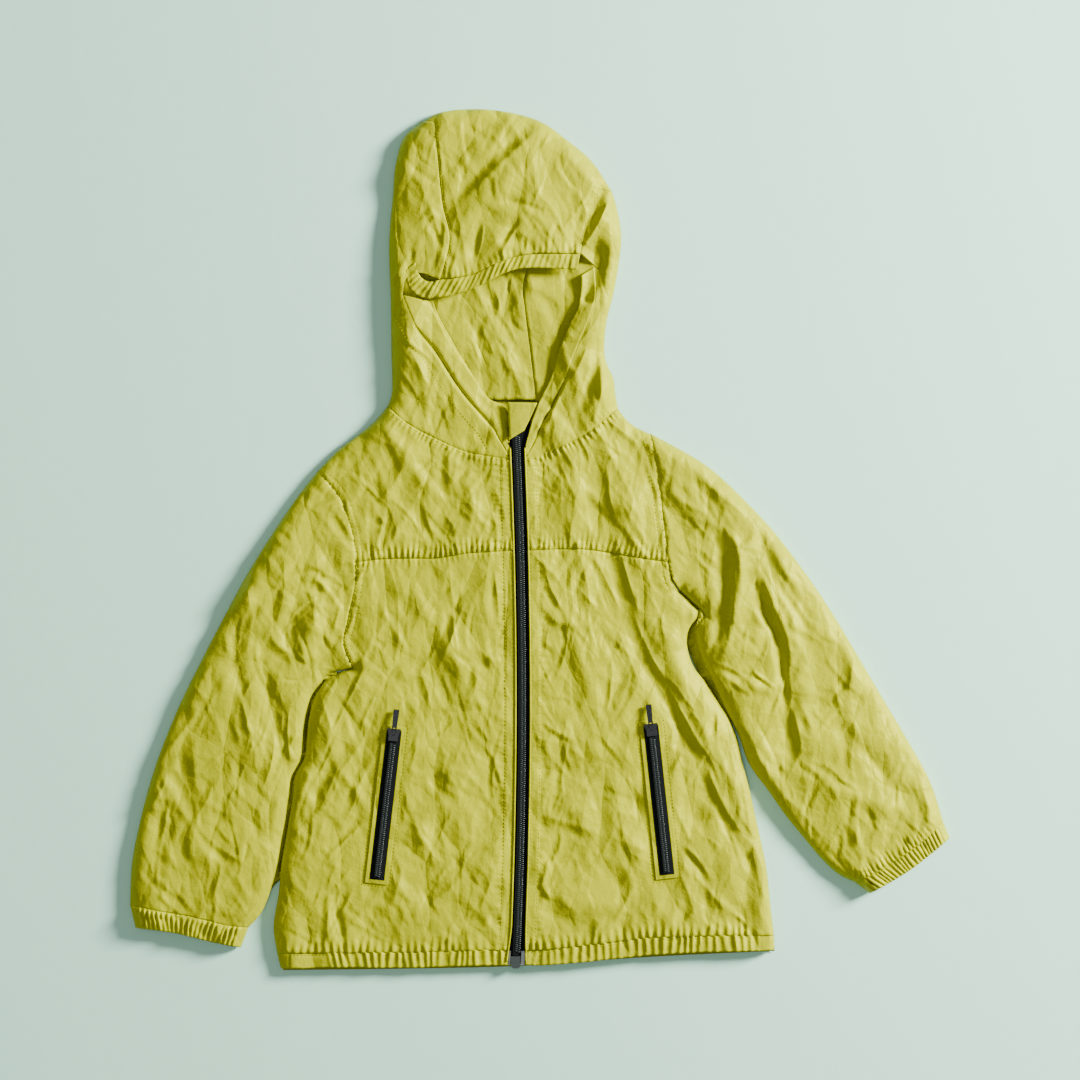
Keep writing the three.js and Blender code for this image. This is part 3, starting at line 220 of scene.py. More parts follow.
R = dict(
    side=line([217.2, -337], [214.2, -312], [211.2, -283], [206.6, -259], [200.8, -233],
              [195.9, -211], [190, -188], [185.4, -168], [178.6, -151.5], [170.4, -139],
              [159.4, -122], [148.8, -108], [144, -95], [143, -85], [145.3, -74.5],
              [155, -62.8], [150, -57.8], [143.6, -51], [136, -44]),
    hem_side=line([217.4, -349], [217.2, -337]),
    armhole_low=line([136, -44], [130, -34], [127, -19]),
    armhole_high=line([127, -19], [125, 0], [122, 26], [118, 60], [113, 89.5]),
    shoulder=line([113, 89.5], [95, 99], [84, 112]),
    sleeve_inner=line([138, -43.2], [145.6, -50], [152, -56.2], [158.6, -63.2], [153, -70],
                      [150.6, -76], [152.5, -90], [157, -103], [161.4, -112], [168, -125.5],
                      [176.6, -144.5], [188, -167.5], [194.6, -186.5], [202, -199],
                      [211.3, -211], [228.3, -235], [247.9, -259], [259, -272], [271, -283],
                      [280, -288.2], [286, -290.5]),
    sleeve_outer=line([113, 89.5], [150, 69], [171.3, 53], [195.9, 29], [218, 5], [245.2, -31],
                      [269, -67], [290.3, -103], [311.5, -139], [332.8, -175], [350, -207],
                      [360.6, -240]),
    cuff_seam=line([286, -290.5], [296.7, -286.4], [314.3, -276], [333.3, -263.6],
                   [347.2, -253], [360.6, -240]),
    cuff_inner=line([286, -290.5], [298.7, -300.3]),
    cuff_outer=line([360.6, -240], [366.2, -253.4]),
    cuff_edge=line([298.7, -300.3], [333, -279.8], [366.2, -253.4]),
    yoke_seam=line([127, -19], [93, -14], [60, -8.5], [35, -8], at_zip(1, YOKE_Y)),
    neck=line([84, 112], [62, 94], [47, 85], [27, 76], at_zip(1, NECK_Y)),
    hem_seam=line([217.2, -337], [154, -337.4], [111, -339.2], [69, -344], [35, -348],
                  at_zip(1, HEM_SEAM_Y)),
    hem_edge=line([217.4, -349], [154, -350.6], [120, -352.4], [86, -355.6], [52, -359.3],
                  [22, -361.6], at_zip(1, HEM_Y)),
    hood_side=line([84, 112], [82, 125], [80.6, 137], [75.2, 149], [72.7, 161], [74.4, 185],
                   [80.3, 209], [84.6, 233], [87.1, 257], [83.7, 281], [79, 297]),
    hood_face=line(at_zip(1, NECK_Y), [13, 84], [20, 100], [28, 114], [40, 140], [50, 165],
                   [60, 189], [65, 208], [64, 236]),
    hood_fold=line([64, 236], [59, 242], [52, 243]),
    crown=line([52, 243], [56, 262], [62, 281], [68, 298]),
    hood_back_seam=line([14, 119.5], [12, 138], [8.5, 167], [5, 195], [4, 222], [22, 262],
                        [48, 286], [68, 298]),
)
hood_top = line([-81, 356.5], [-68, 363.8], [-46, 366.8], [-16, 365.5], [17, 357], [41, 340.5],
                [61.7, 322.7], [79, 297])
back_neck_left = line([-112, 114], [-35, 119.5])
back_neck_strip = line([-35, 119.5], [14, 119.5])
back_neck_right = line([14, 119.5], [84, 112])
brim_top = line([-67, 221], [-42, 224.5], [-16, 236], [9, 242.5], [52, 243])
brim_edge = line([-76, 205], [-54, 208.5], [-33, 216], [-12, 226.5], [9, 231], [49, 229.5])
back_hem_seam = line([-206, -352], [-100, -351.6], [0, -350], [110, -339.6], [217.2, -337])
back_hem_edge = line([-201, -366.6], [-100, -365.4], [0, -363], [110, -355.4], [217.6, -350.2])
print("lines on the left", len(L), "on the right", len(R))

# %% [markdown]
# ## How the cloth lies
# Two layers of cloth lie on each other and meet in a soft roll at every turned edge. Air and
# folds hold the upper layer some 10 mm up. All pieces share one height, so the cloth runs on
# over the seams as it does on a sewn garment.

# %% swells and large folds
EDGE_HEIGHT, EDGE_ROUND, LIE = 3.2, 15.0, 10.0  # a turned edge, its roll, the open cloth
DEEP, LAID_DOWN = 3, 0.45  # folds deeper than this lie down to this share of their height

# x, y, reach x, reach y, height
SWELLS = [
    [-5, 295, 80, 62, 8], [-86, 165, 34, 70, 4], [62, 150, 30, 60, 4], [-12, 226, 55, 26, 3],
    [-205, -60, 52, 80, 3], [-268, -215, 55, 90, 2], [200, -40, 52, 80, 3.5],
    [292, -190, 55, 90, 2], [-120, 60, 50, 40, 2], [70, 60, 50, 40, 2],
    [-60, -210, 90, 80, 1], [70, -110, 60, 90, 1], [0, -375, 260, 42, -3],
]

# from x, y, bend x, y, to x, y, reach to each side, height (a negative one is a valley)
FOLDS = [
    [70, 60, 85, -85, 200, -290, 8, -5], [86, 60, 103, -78, 214, -270, 8, 4.5],
    [163, 14, 184, -30, 160, -108, 6, -4.5], [178, 12, 199, -32, 174, -104, 8, 3.5],
    [199, 14, 222, -38, 250, -78, 6, -3.5], [201, -27, 226, -92, 234, -189, 6, -4],
    [216, -30, 242, -92, 248, -182, 9, 2.5], [168, -118, 196, -130, 236, -122, 6, 2],
    [250, -200, 290, -222, 322, -232, 7, 2], [262, -152, 300, -182, 326, -222, 7, -2],
    [-161, -29, -214, -30, -239, -80, 6, -4.5], [-158, -18, -214, -16, -250, -70, 8, 2.5],
    [-239, -80, -244, -124, -227, -178, 6, -3.5], [-164, -46, -206, -62, -192, -98, 5, -5],
    [-166, -60, -186, -76, -176, -104, 7, 3], [-222, -80, -210, -134, -197, -204, 6, -4],
    [-163, -106, -186, -142, -186, -186, 6, 2.5], [-301, -221, -306, -262, -309, -300, 6, -2.5],
    [-254, -109, -236, -150, -222, -198, 8, 2.5], [-262, -210, -262, -250, -272, -300, 8, 2],
    [20, 358, -36, 312, -76, 262, 7, -6], [28, 338, -18, 300, -58, 264, 9, 3],
    [-33, 270, -38, 252, -37, 236, 4, -3.5], [75, 310, 62, 268, 48, 246, 5, -6],
    [68, 250, 73, 226, 67, 198, 5, -6], [-15, 290, 3, 284, 21, 280, 4, -2],
    [-2, 272, -8, 262, -15, 250, 4, -2], [-96, 190, -92, 150, -70, 108, 7, 2],
    [68, 170, 64, 140, 50, 104, 5, -3], [-132, 62, -108, 42, -96, 10, 8, 2],
    [-72, 60, -60, 34, -62, 2, 8, -2], [32, 52, 62, 34, 104, 24, 8, 2],
    [-104, -30, -62, -74, -42, -142, 8, 2], [-52, -62, -92, -98, -128, -122, 7, -2],
    [-32, -186, -70, -212, -92, -262, 9, 2], [-30, -120, -66, -150, -84, -140, 8, 1.5],
    [-159, -300, -152, -330, -147, -352, 4, -2.5], [36, -62, 58, -112, 68, -172, 8, 2],
    [30, -204, 58, -242, 92, -292, 9, 2], [20, -300, 56, -316, 100, -310, 8, 1.5],
]


LAID_FOLDS = [[*row[:7], row[7] * (LAID_DOWN if abs(row[7]) > DEEP else 1)] for row in FOLDS]
print("folds", len(FOLDS), "swells", len(SWELLS))


def bend(x1, y1, bx, by, x2, y2, count=13):
    """Places on a curve from one point to another, drawn towards a third."""
    t = np.linspace(0, 1, count)[:, None]
    a, b, c = np.array([x1, y1]), np.array([bx, by]), np.array([x2, y2])
    return (1 - t) ** 2 * a + 2 * t * (1 - t) * b + t**2 * c


def nearest(points, x, y):
    """Distance to a run of short steps, the share of it at the nearest place, and that place."""
    p = np.asarray(points, float)
    best = np.full(x.shape, np.inf)
    share, nx, ny = (np.zeros(x.shape) for _ in range(3))
    for i in range(len(p) - 1):
        (ax, ay), (bx, by) = p[i], p[i + 1]
        dx, dy = bx - ax, by - ay
        k = np.clip(((x - ax) * dx + (y - ay) * dy) / (dx * dx + dy * dy + 1e-12), 0, 1)
        px, py = ax + dx * k, ay + dy * k
        d = np.hypot(x - px, y - py)
        closer = d < best
        best = np.where(closer, d, best)
        share = np.where(closer, (i + k) / (len(p) - 1), share)
        nx, ny = np.where(closer, px, nx), np.where(closer, py, ny)
    return best, share, nx, ny


def near_box(points, x, y, reach):
    """Which places are close enough to a run to be touched by it."""
    lo, hi = points.min(0) - reach, points.max(0) + reach
    return (x > lo[0]) & (x < hi[0]) & (y > lo[1]) & (y < hi[1])


def add_folds(z, x, y, rows):
    for *ends, reach, height in rows:
        run = bend(*ends)
        m = near_box(run, x, y, 3 * reach)
        if m.any():
            d, share, _, _ = nearest(run, x[m], y[m])
            z[m] += height * np.sqrt(np.sin(np.pi * share)) * np.exp(-((d / reach) ** 2))
    return z


def free_height(x, y):
    z = np.full(x.shape, LIE)
    for cx, cy, rx, ry, h in SWELLS:
        z += h * np.exp(-(((x - cx) / rx) ** 2) - ((y - cy) / ry) ** 2)
    return add_folds(z, x, y, LAID_FOLDS)


TURNED = [sampled(half[k], 41) for half in (L, R)
          for k in ("side", "hem_side", "shoulder", "sleeve_inner", "sleeve_outer",
                    "cuff_inner", "cuff_outer", "hood_side")] + [sampled(hood_top, 41)]


def to_nearest(runs, x, y, limit):
    """Distance to the nearest of some runs, where it is under the limit."""
    best = np.full(x.shape, float(limit))
    for run in runs:
        m = near_box(run, x, y, limit)
        if m.any():
            best[m] = np.minimum(best[m], nearest(run, x[m], y[m])[0])
    return best


def to_turned_edge(x, y, limit=EDGE_ROUND + 1):
    return to_nearest(TURNED, x, y, limit)


def upper_height(x, y):
    """Height of the upper layer's face, with the roll at the turned edges."""
    k = np.clip(1 - to_turned_edge(x, y) / EDGE_ROUND, 0, 1)
    return EDGE_HEIGHT + (free_height(x, y) - EDGE_HEIGHT) * np.sqrt(1 - k * k)


def lower_height(x, y):
    k = np.clip(1 - to_turned_edge(x, y, 4.0) / EDGE_HEIGHT, 0, 1)
    return EDGE_HEIGHT * (1 - np.sqrt(1 - k * k))


# %% [markdown]
# ## Creases
# Thin coated nylon keeps every crease it gets: soft long folds with sharp ridges on them, and
# between these a net of small crinkles. The large folds above are the ones that the hard
# model has too. The smaller ones below are listed one by one, stray ones are strewn between
# them, and the net is seeded noise.

# %% smaller creases, listed one by one
# from x, y, bend x, y, to x, y, half width, height of the step down to the lower left
# (a negative height is a step up)
CREASES = [
    # left yoke and the foot of the hood
    [-106, 83, -100, 58, -141, 21, 8.9, 2.6], [-121, 29, -119, 12, -131, -15, 5.7, 2.4],
    [-63, 83, -62, 65, -64, 40, 3.6, 1.5], [-55, 48, -35, 28, -53, 11, 6.2, 1.9],
    [-70, 22, -60, 10, -57, 1, 5.7, 1.2], [-44, 66, -51, 53, -61, 47, 2.3, -1],
    [-92, 70, -73, 48, -60, 27, 3.3, -1], [-22, 94, -37, 81, -46, 74, 7.3, 2.2],
    [-104, 146, -97, 136, -84, 113, 2.6, 1], [-94, 159, -85, 143, -79, 126, 2.9, 1.2],
    [-60, 135, -57, 118, -55, 102, 2.3, 0.9], [-24, 59, -27, 50, -31, 42, 1.3, 0.7],
    [-26, 44, -16, 30, -12, 0, 3.6, 1.5], [-153, 68, -136, 72, -120, 79, 2, 0.8],
    # left sleeve
    [-162, 27, -147, 8, -141, -5, 2.6, 1.1], [-156, -2, -157, -18, -159, -28, 6.5, 1.2],
    [-188, 26, -174, 29, -153, 39, 2.9, 1], [-153, -31, -194, -18, -229, -59, 1.5, 2],
    [-228, -52, -246, -76, -238, -111, 1.8, 2], [-247, -119, -236, -142, -226, -191, 4.1, 2.6],
    [-165, -42, -195, -54, -197, -70, 2.9, 3.8], [-197, -68, -202, -80, -193, -92, 2.3, 3.4],
    [-194, -89, -189, -100, -181, -106, 1.8, 2], [-185, -39, -173, -37, -163, -42, 4.4, 1.8],
    [-223, -80, -232, -116, -197, -143, 1.6, 2.4], [-196, -141, -202, -162, -193, -206, 1.9, 3.4],
    [-193, -71, -179, -95, -179, -111, 2.3, -1.6], [-206, -118, -190, -124, -173, -118, 1.8, -1],
    [-188, -126, -173, -126, -166, -111, 2.3, 1.8], [-216, -76, -215, -95, -182, -106, 4.4, 1.6],
    [-153, -48, -160, -66, -162, -81, 4.4, 1.8], [-166, -78, -164, -88, -160, -95, 1.2, 1.8],
    [-279, -163, -286, -191, -276, -225, 5.9, 1.8], [-212, -162, -209, -187, -223, -212, 3.8, 1.8],
    [-242, -174, -255, -185, -269, -197, 1.5, -0.9],
    [-250, -187, -247, -198, -244, -206, 3.5, 1.1], [-261, -204, -266, -215, -269, -225, 3.2, 1],
    [-302, -197, -300, -210, -318, -229, 2, 1], [-254, -220, -242, -212, -232, -207, 2, 0.9],
    [-300, -219, -303, -240, -310, -272, 2.9, 2], [-309, -260, -313, -282, -311, -300, 4.4, 2],
    [-307, -294, -307, -308, -289, -320, 2.3, 1.6], [-299, -290, -287, -309, -272, -322, 2.3, 1.6],
    [-260, -274, -259, -290, -267, -304, 5.9, 2], [-262, -306, -258, -312, -261, -323, 2, 2.2],
    [-282, -255, -288, -268, -274, -275, 3.8, 1.1], [-220, -222, -228, -241, -216, -255, 3.5, 0.8],
    [-220, -304, -230, -318, -242, -325, 1.8, 0.8],
    # left front
    [-65, -15, -69, -28, -70, -35, 6.5, 0.8], [-35, -28, -62, -47, -62, -75, 4.9, -1],
    [-24, -22, -20, -49, -19, -76, 2.6, 0.9], [-133, -107, -142, -126, -151, -143, 2.3, 3.2],
    [-150, -141, -154, -153, -159, -159, 1.8, 1.1], [-153, -159, -168, -196, -182, -219, 1.5, 0.9],
    [-132, -158, -146, -185, -165, -203, 5.3, 1.8], [-140, -207, -140, -222, -152, -237, 3.5, 1.3],
    [-176, -198, -184, -216, -191, -239, 1.8, -0.9], [-141, -99, -158, -115, -172, -143, 1.8, 0.9],
    [-163, -300, -165, -318, -166, -340, 2.9, 1.6], [-160, -300, -162, -323, -145, -354, 1.3, 2],
    [-125, -238, -141, -241, -163, -269, 2.3, 1.2], [-143, -293, -146, -303, -153, -313, 3.2, 1.2],
    [-128, -187, -138, -205, -144, -217, 3.2, 1.3], [-156, -187, -163, -211, -176, -234, 3.5, 1.1],
    [-168, -294, -173, -304, -175, -310, 1.5, 0.8], [-50, -49, -60, -83, -74, -110, 4.2, 1.5],
    [-118, -50, -106, -79, -90, -97, 2, -0.9], [-90, -110, -78, -129, -82, -145, 4.2, 1.4],
    [-111, -88, -121, -96, -131, -104, 1.6, 0.7], [-40, -94, -24, -101, -14, -125, 3.9, 1.2],
    [-9, -73, -16, -84, -27, -91, 2.3, 0.8], [-41, -106, -37, -120, -45, -135, 3.9, 0.9],
    [-40, -154, -33, -164, -27, -174, 2.9, 0.9], [-51, -151, -66, -161, -80, -177, 1.6, 0.8],
    [-59, -154, -63, -143, -72, -145, 2.3, 0.8], [-48, -138, -63, -158, -76, -125, 1.6, 0.6],
    [-72, -193, -75, -202, -41, -223, 6.5, 1.3], [-74, -221, -63, -238, -76, -252, 6.5, 1.3],
    [-131, -236, -141, -245, -168, -270, 2.9, 1.2], [-157, -190, -163, -217, -176, -228, 6.5, 1.5],
    [-95, -211, -102, -223, -95, -234, 2.6, 0.8], [-48, -270, -65, -286, -72, -289, 4.9, 1.3],
    [-14, -122, -10, -132, -9, -141, 1.3, 0.8], [-67, -57, -74, -70, -74, -83, 6.5, 0.8],
    [-89, -167, -89, -179, -95, -197, 2.3, 0.7], [-44, -272, -66, -303, -102, -317, 5.6, 2],
    [-113, -272, -95, -279, -110, -297, 2.8, 1.2], [-24, -317, -34, -327, -55, -331, 4.2, 1.3],
    [-118, -291, -116, -298, -113, -305, 1.7, 1], [-127, -331, -131, -333, -135, -343, 2, 0.8],
    [-24, -329, -17, -339, -16, -349, 1.4, 1.4], [-18, -314, -18, -323, -14, -329, 2, 0.9],
    [-82, -259, -90, -262, -93, -265, 2.8, 0.8], [-18, -252, -25, -257, -33, -263, 3.1, 0.8],
    # right yoke
    [68, 74, 62, 39, 75, 9, 9.8, 3.4], [106, 66, 114, 43, 122, 22, 2.3, 1],
    [60, -13, 77, -43, 85, -65, 2.6, 1], [33, 65, 39, 50, 46, 35, 2.3, 1],
    [38, 22, 43, 7, 40, 1, 2.9, 0.8], [93, 19, 103, 4, 112, -15, 2.3, 0.9],
    [112, 44, 101, 33, 96, 19, 2.6, -0.9], [122, 16, 120, 0, 120, -12, 2, 0.8],
    [49, 87, 58, 73, 57, 65, 2.3, 0.8], [77, 88, 83, 79, 83, 71, 2, 0.9],
    [103, 83, 112, 74, 122, 66, 2.6, 0.9],
    # right front
    [75, 6, 84, -27, 99, -76, 6.5, 3.6], [18, -20, 23, -50, 47, -76, 2.9, 1.7],
    [55, -13, 51, -30, 39, -52, 3.3, -1.1], [52, -12, 34, -22, 29, -38, 2.6, -0.8],
    [88, -54, 106, -105, 124, -127, 5.5, 4.6], [122, -127, 141, -158, 156, -191, 4.6, 4.4],
    [155, -189, 168, -229, 192, -259, 3.6, 3.6], [190, -258, 204, -271, 202, -295, 4.9, 2],
    [75, -72, 88, -102, 101, -136, 6.5, 1.2], [18, -155, 29, -166, 49, -173, 2.3, 1.2],
    [25, -136, 41, -132, 44, -142, 1.6, 0.7], [38, -66, 43, -92, 26, -123, 2, 0.8],
    [39, -66, 54, -84, 62, -95, 2, 0.9], [65, -165, 77, -176, 88, -194, 2, 0.8],
    [75, -103, 80, -113, 72, -149, 2.3, 0.6], [125, -163, 130, -175, 122, -186, 3.3, 1],
    [15, -236, 37, -243, 75, -256, 3.9, 1.4], [75, -261, 99, -267, 106, -274, 8.1, 1.2],
    [29, -264, 25, -275, 20, -282, 2.9, 0.9], [133, -258, 154, -270, 158, -285, 2.3, 1],
    [146, -227, 164, -229, 164, -254, 6.5, 1.1], [189, -202, 189, -213, 195, -240, 1.6, 1],
    [140, -93, 141, -108, 158, -123, 3.3, 1.2], [38, -290, 32, -294, 23, -301, 2, 0.7],
    [122, -54, 115, -70, 124, -88, 2.3, 0.8], [13, -289, 22, -302, 28, -308, 2.3, 1.6],
    [28, -302, 37, -319, 49, -324, 6.5, 1.4], [96, -289, 86, -309, 70, -339, 3.9, 1.6],
    [156, -308, 145, -315, 133, -328, 2.6, 1.2], [156, -308, 153, -328, 176, -334, 2, -0.8],
    [133, -256, 155, -275, 161, -290, 2.3, 1], [153, -292, 170, -319, 190, -328, 3.9, 1.3],
    [205, -289, 205, -303, 212, -324, 2.6, 2.2], [194, -282, 206, -300, 195, -324, 6.5, 1.6],
    [107, -276, 114, -285, 114, -289, 2, 0.8], [29, -266, 18, -274, 20, -289, 2.6, 0.9],
    [75, -315, 54, -334, 65, -341, 3.3, 0.9],
    # right sleeve
    [122, 40, 135, 24, 161, 15, 6.5, 1.8], [146, 58, 164, 35, 197, 14, 4.6, 1.7],
    [168, 9, 192, -9, 174, -76, 6.2, 3.6], [171, 14, 177, 6, 177, -2, 1.6, 1.2],
    [208, 6, 216, -26, 239, -52, 4.6, 1.8], [199, -23, 204, -49, 220, -76, 5.9, 2.2],
    [143, -47, 151, -37, 161, -40, 1.3, 1.4], [150, 58, 156, 45, 154, 26, 2, 1],
    [177, -53, 178, -83, 163, -103, 5.5, 2], [164, -108, 181, -106, 203, -131, 2.3, 1.3],
    [181, -111, 201, -113, 218, -127, 2, 0.9], [212, -54, 230, -90, 226, -119, 4.6, 3],
    [179, -25, 181, -47, 173, -79, 4.7, 3], [202, -30, 215, -63, 223, -90, 4.4, 2.8],
    [223, -90, 229, -124, 227, -147, 3.1, 3.6], [227, -144, 233, -163, 235, -186, 5.7, 3.2],
    [212, -25, 228, -48, 249, -78, 2.6, 2.4], [280, -100, 278, -117, 280, -129, 3.9, 1.2],
    [278, -138, 258, -157, 254, -168, 1.6, -0.9], [278, -138, 291, -131, 307, -135, 1.3, 0.8],
    [283, -164, 278, -183, 287, -199, 6.5, 1.4], [171, -116, 182, -123, 196, -133, 2.1, 1.3],
    [196, -109, 202, -118, 219, -128, 1.6, 1], [194, -66, 192, -82, 188, -98, 1.6, 0.7],
    [267, -125, 268, -145, 275, -142, 2.9, 0.9], [259, -100, 265, -108, 270, -116, 1.8, 0.6],
    [269, -203, 278, -207, 286, -213, 1.8, 1.8], [286, -213, 283, -229, 282, -242, 3.2, 3.2],
    [282, -242, 283, -254, 285, -262, 4.1, 2.4], [320, -204, 323, -215, 319, -228, 1.4, 1.1],
    [336, -210, 346, -224, 343, -246, 4.6, 1.7], [302, -230, 298, -240, 304, -247, 2, 1.1],
    [275, -251, 271, -265, 274, -269, 2.5, 1], [296, -262, 302, -265, 302, -270, 1.6, 1.2],
    [328, -251, 329, -255, 330, -260, 3.4, 1], [279, -279, 291, -285, 304, -277, 1.1, 1.3],
    [326, -236, 333, -245, 343, -251, 1.4, 0.9], [228, -208, 232, -214, 232, -221, 1.6, 0.6],
    [236, -172, 235, -187, 228, -194, 3.4, 1.4], [250, -233, 241, -242, 246, -250, 1.6, 0.6],
    # right side of the hood
    [69, 154, 64, 131, 72, 110, 2, 1.4], [64, 149, 70, 130, 57, 97, 4.6, 2.2],
    [55, 169, 51, 150, 39, 135, 3.3, 1.6], [59, 151, 55, 138, 51, 125, 2, 1.1],
    [41, 141, 26, 115, 16, 83, 3.3, 2.4], [20, 107, 11, 96, 10, 78, 2.6, 1.4],
    # crown of the hood
    [17, 355, -9, 333, -52, 290, 5, 3.6], [-45, 356, -39, 346, -16, 338, 2, 0.9],
    [-23, 307, -22, 295, -21, 289, 2, 1], [-14, 290, 3, 286, 33, 277, 1.3, 1],
    [-32, 268, -33, 252, -38, 238, 2, 1.7], [1, 272, -10, 258, -18, 239, 1.8, 1.2],
    [-102, 327, -89, 307, -64, 296, 3.2, -0.9], [44, 296, 56, 279, 52, 261, 4.4, 1.4],
    [75, 308, 73, 279, 44, 242, 4.7, 3.4], [-54, 242, -61, 228, -57, 211, 2, 1.2],
    [5, 258, 7, 252, 3, 242, 1.5, 0.8], [-64, 267, -70, 257, -64, 247, 3.2, 1],
    [-40, 330, -51, 315, -54, 296, 2.9, -0.8], [-74, 353, -66, 328, -67, 309, 1.5, 0.6],
    # left side of the hood
    [-105, 315, -114, 271, -100, 210, 2.3, 2.6],
]
CREASES_INSIDE = [
    [-34, 217, -12, 205, -27, 189, 4.1, 2], [-27, 189, -39, 176, -27, 165, 3.5, 2],
    [-29, 167, -25, 156, -18, 162, 2.9, 1.6], [-30, 198, -39, 185, -54, 178, 1.5, 1],
    [-51, 162, -40, 166, -32, 170, 1.2, 0.8], [-7, 188, -2, 182, 8, 176, 1.2, 0.8],
    [14, 176, 17, 165, 24, 157, 1.5, 0.9], [-20, 173, -14, 165, -2, 160, 1.5, 0.6],
    [34, 226, 20, 220, 17, 208, 2, 1.6], [-7, 225, -9, 218, -9, 208, 1.5, 1],
    [21, 208, 35, 201, 40, 188, 1.3, 0.7], [-40, 208, -48, 200, -59, 201, 1.5, 0.7],
]

# x, y, to x, y, half width at each end, depth
HOLLOWS = [
    [66, 243, 58, 206, 10.0, 5.0, 8.0], [-84, 212, -64, 196, 4.0, 3.0, 3.0],
    [-93, 228, -91, 244, 3.6, 2.4, 2.0],
]
STEEPEST = 0.42  # slope that no crease passes
CLIMB = 0.55  # slope of a crease for each unit of height over half width
RISE = np.array([np.cos(np.radians(20)), np.sin(np.radians(20))])  # creases climb this way
NEAR_TAIL, FAR_TAIL, TAIL_REACH = 1.6, 0.8, 3.5  # how fast it dies out above, below, and where
print("creases", len(CREASES) + len(CREASES_INSIDE), "hollows", len(HOLLOWS))


def add_creases(z, x, y, rows, gain):
    """Creases that climb to a sharp ridge on one side and fade out on the other."""
    for x1, y1, bx, by, x2, y2, width, height in rows:
        run = bend(x1, y1, bx, by, x2, y2, 17)
        m = near_box(run, x, y, 3 * width)
        if m.any():
            d, share, nx, ny = nearest(run, x[m], y[m])
            along = run[-1] - run[0]
            across = np.array([-along[1], along[0]]) / np.hypot(*along)
            across *= np.sign(across @ RISE)
            s = ((x[m] - nx) * across[0] + (y[m] - ny) * across[1]) / width
            far = np.abs(s)
            fall = np.where(s > 0, NEAR_TAIL, FAR_TAIL)
            slope = 2 * np.clip((s + 1) / 2, 0, 1) ** 1.8 - 1
            step = np.where(far < 1, slope, np.sign(s) * np.exp(-(far - 1) * fall))
            taper = np.sin(np.pi * np.clip(share, 0, 1)) ** 0.9
            climb = STEEPEST * np.tanh(CLIMB * gain * height / width / STEEPEST)
            z[m] += climb * width * taper * step * np.exp(-((d / width / TAIL_REACH) ** 4))
    return z


def add_hollows(z, x, y):
    for x1, y1, x2, y2, w1, w2, depth in HOLLOWS:
        run = np.array([[x1, y1], [x2, y2]], float)
        m = near_box(run, x, y, 2.5 * max(w1, w2))
        if m.any():
            d, share, _, _ = nearest(run, x[m], y[m])
            z[m] -= depth * np.exp(-((d / (w1 + (w2 - w1) * share)) ** 2.4))
    return z


# %% stray creases between them


def stray_creases(count, seed):
    """Short creases strewn over the cloth, most of them on one of two slants."""
    rng = np.random.default_rng(seed)
    x, y = rng.uniform(-330, 360, count), rng.uniform(-350, 360, count)
    slant = np.where(rng.random(count) < 0.6, 1.0, -1.0) * rng.normal(1.05, 0.3, count)
    length, width = rng.uniform(16, 66, count), rng.uniform(1.2, 3.2, count)
    dx, dy = np.cos(slant) * length / 2, -np.sin(slant) * length / 2
    bow = rng.normal(0, 0.14, count) * length
    height = rng.uniform(0.35, 1.1, count) * np.where(rng.random(count) < 0.7, 1, -1)
    return np.stack([x - dx, y - dy, x - bow * np.sin(slant), y - bow * np.cos(slant),
                     x + dx, y + dy, width, height], -1).tolist()


STRAY = stray_creases(count=760, seed=9)
print("stray creases", len(STRAY))

# %% the net of crinkles


def value_noise(x, y, seed):
    """Smooth noise from -1 to 1 on a unit grid."""
    rng = np.random.default_rng(seed)
    table = rng.uniform(-1, 1, (256, 256))
    xi, yi = np.floor(x).astype(int), np.floor(y).astype(int)
    u, v = x - xi, y - yi
    u, v = u * u * u * (u * (u * 6 - 15) + 10), v * v * v * (v * (v * 6 - 15) + 10)
    at = lambda i, j: table[(xi + i) % 256, (yi + j) % 256]
    low = at(0, 0) * (1 - u) + at(1, 0) * u
    high = at(0, 1) * (1 - u) + at(1, 1) * u
    return low * (1 - v) + high * v


def ridges(x, y, size, seed, stretch=1.0, angle=0.0):
    """Rounded cells that meet in creases, about one per size, drawn out along an angle."""
    c, s = np.cos(angle), np.sin(angle)
    u, v = (c * x + s * y) / (size * stretch), (-s * x + c * y) / size
    wx = value_noise(u * 0.9 + 7.3, v * 0.9 + 1.7, seed + 11)
    wy = value_noise(u * 0.9 + 3.1, v * 0.9 + 9.2, seed + 12)
    return 1 - 2 * np.abs(value_noise(u + 0.6 * wx, v + 0.6 * wy, seed))


def crinkles(x, y):
    """Three nets of crinkles, from wide to fine, each of two slants (mm)."""
    z = 1.2 * ridges(x, y, 42, 1, 2.2, -1.1) + 1.0 * ridges(x, y, 34, 2, 2.0, 0.9)
    z += 0.5 * ridges(x, y, 17, 3, 2.2, -0.8) + 0.4 * ridges(x, y, 13, 4, 2.0, 1.2)
    z += 0.16 * ridges(x, y, 7, 5, 1.5, -1.0) + 0.07 * ridges(x, y, 4.2, 6)
    return z


# %% calm beside the zips
ZIP_RUNS = [np.array([[float(zip_x(y)), y] for y in (-350, -250, -150, -50, 50, 117)]),
            np.array([[-106, -160], [-122, -290]]), np.array([[112, -158], [124, -284]])]


def calm(x, y):
    """1 in the open cloth and down to 0.1 along the zips, whose tape holds the cloth flat."""
    return 0.1 + 0.9 * smooth((to_nearest(ZIP_RUNS, x, y, 30) - 7) / 15)


# %% [markdown]
# ## Seams and gathers
# Every seam is a line where the cloth dips, with puckers drawn up beside it by the thread.
# Yokes, armholes and plackets are topstitched. Elastic gathers the hem, the cuffs and the
# brim of the hood into ridges across the casing.

# %% what a seam does to the cloth beside it


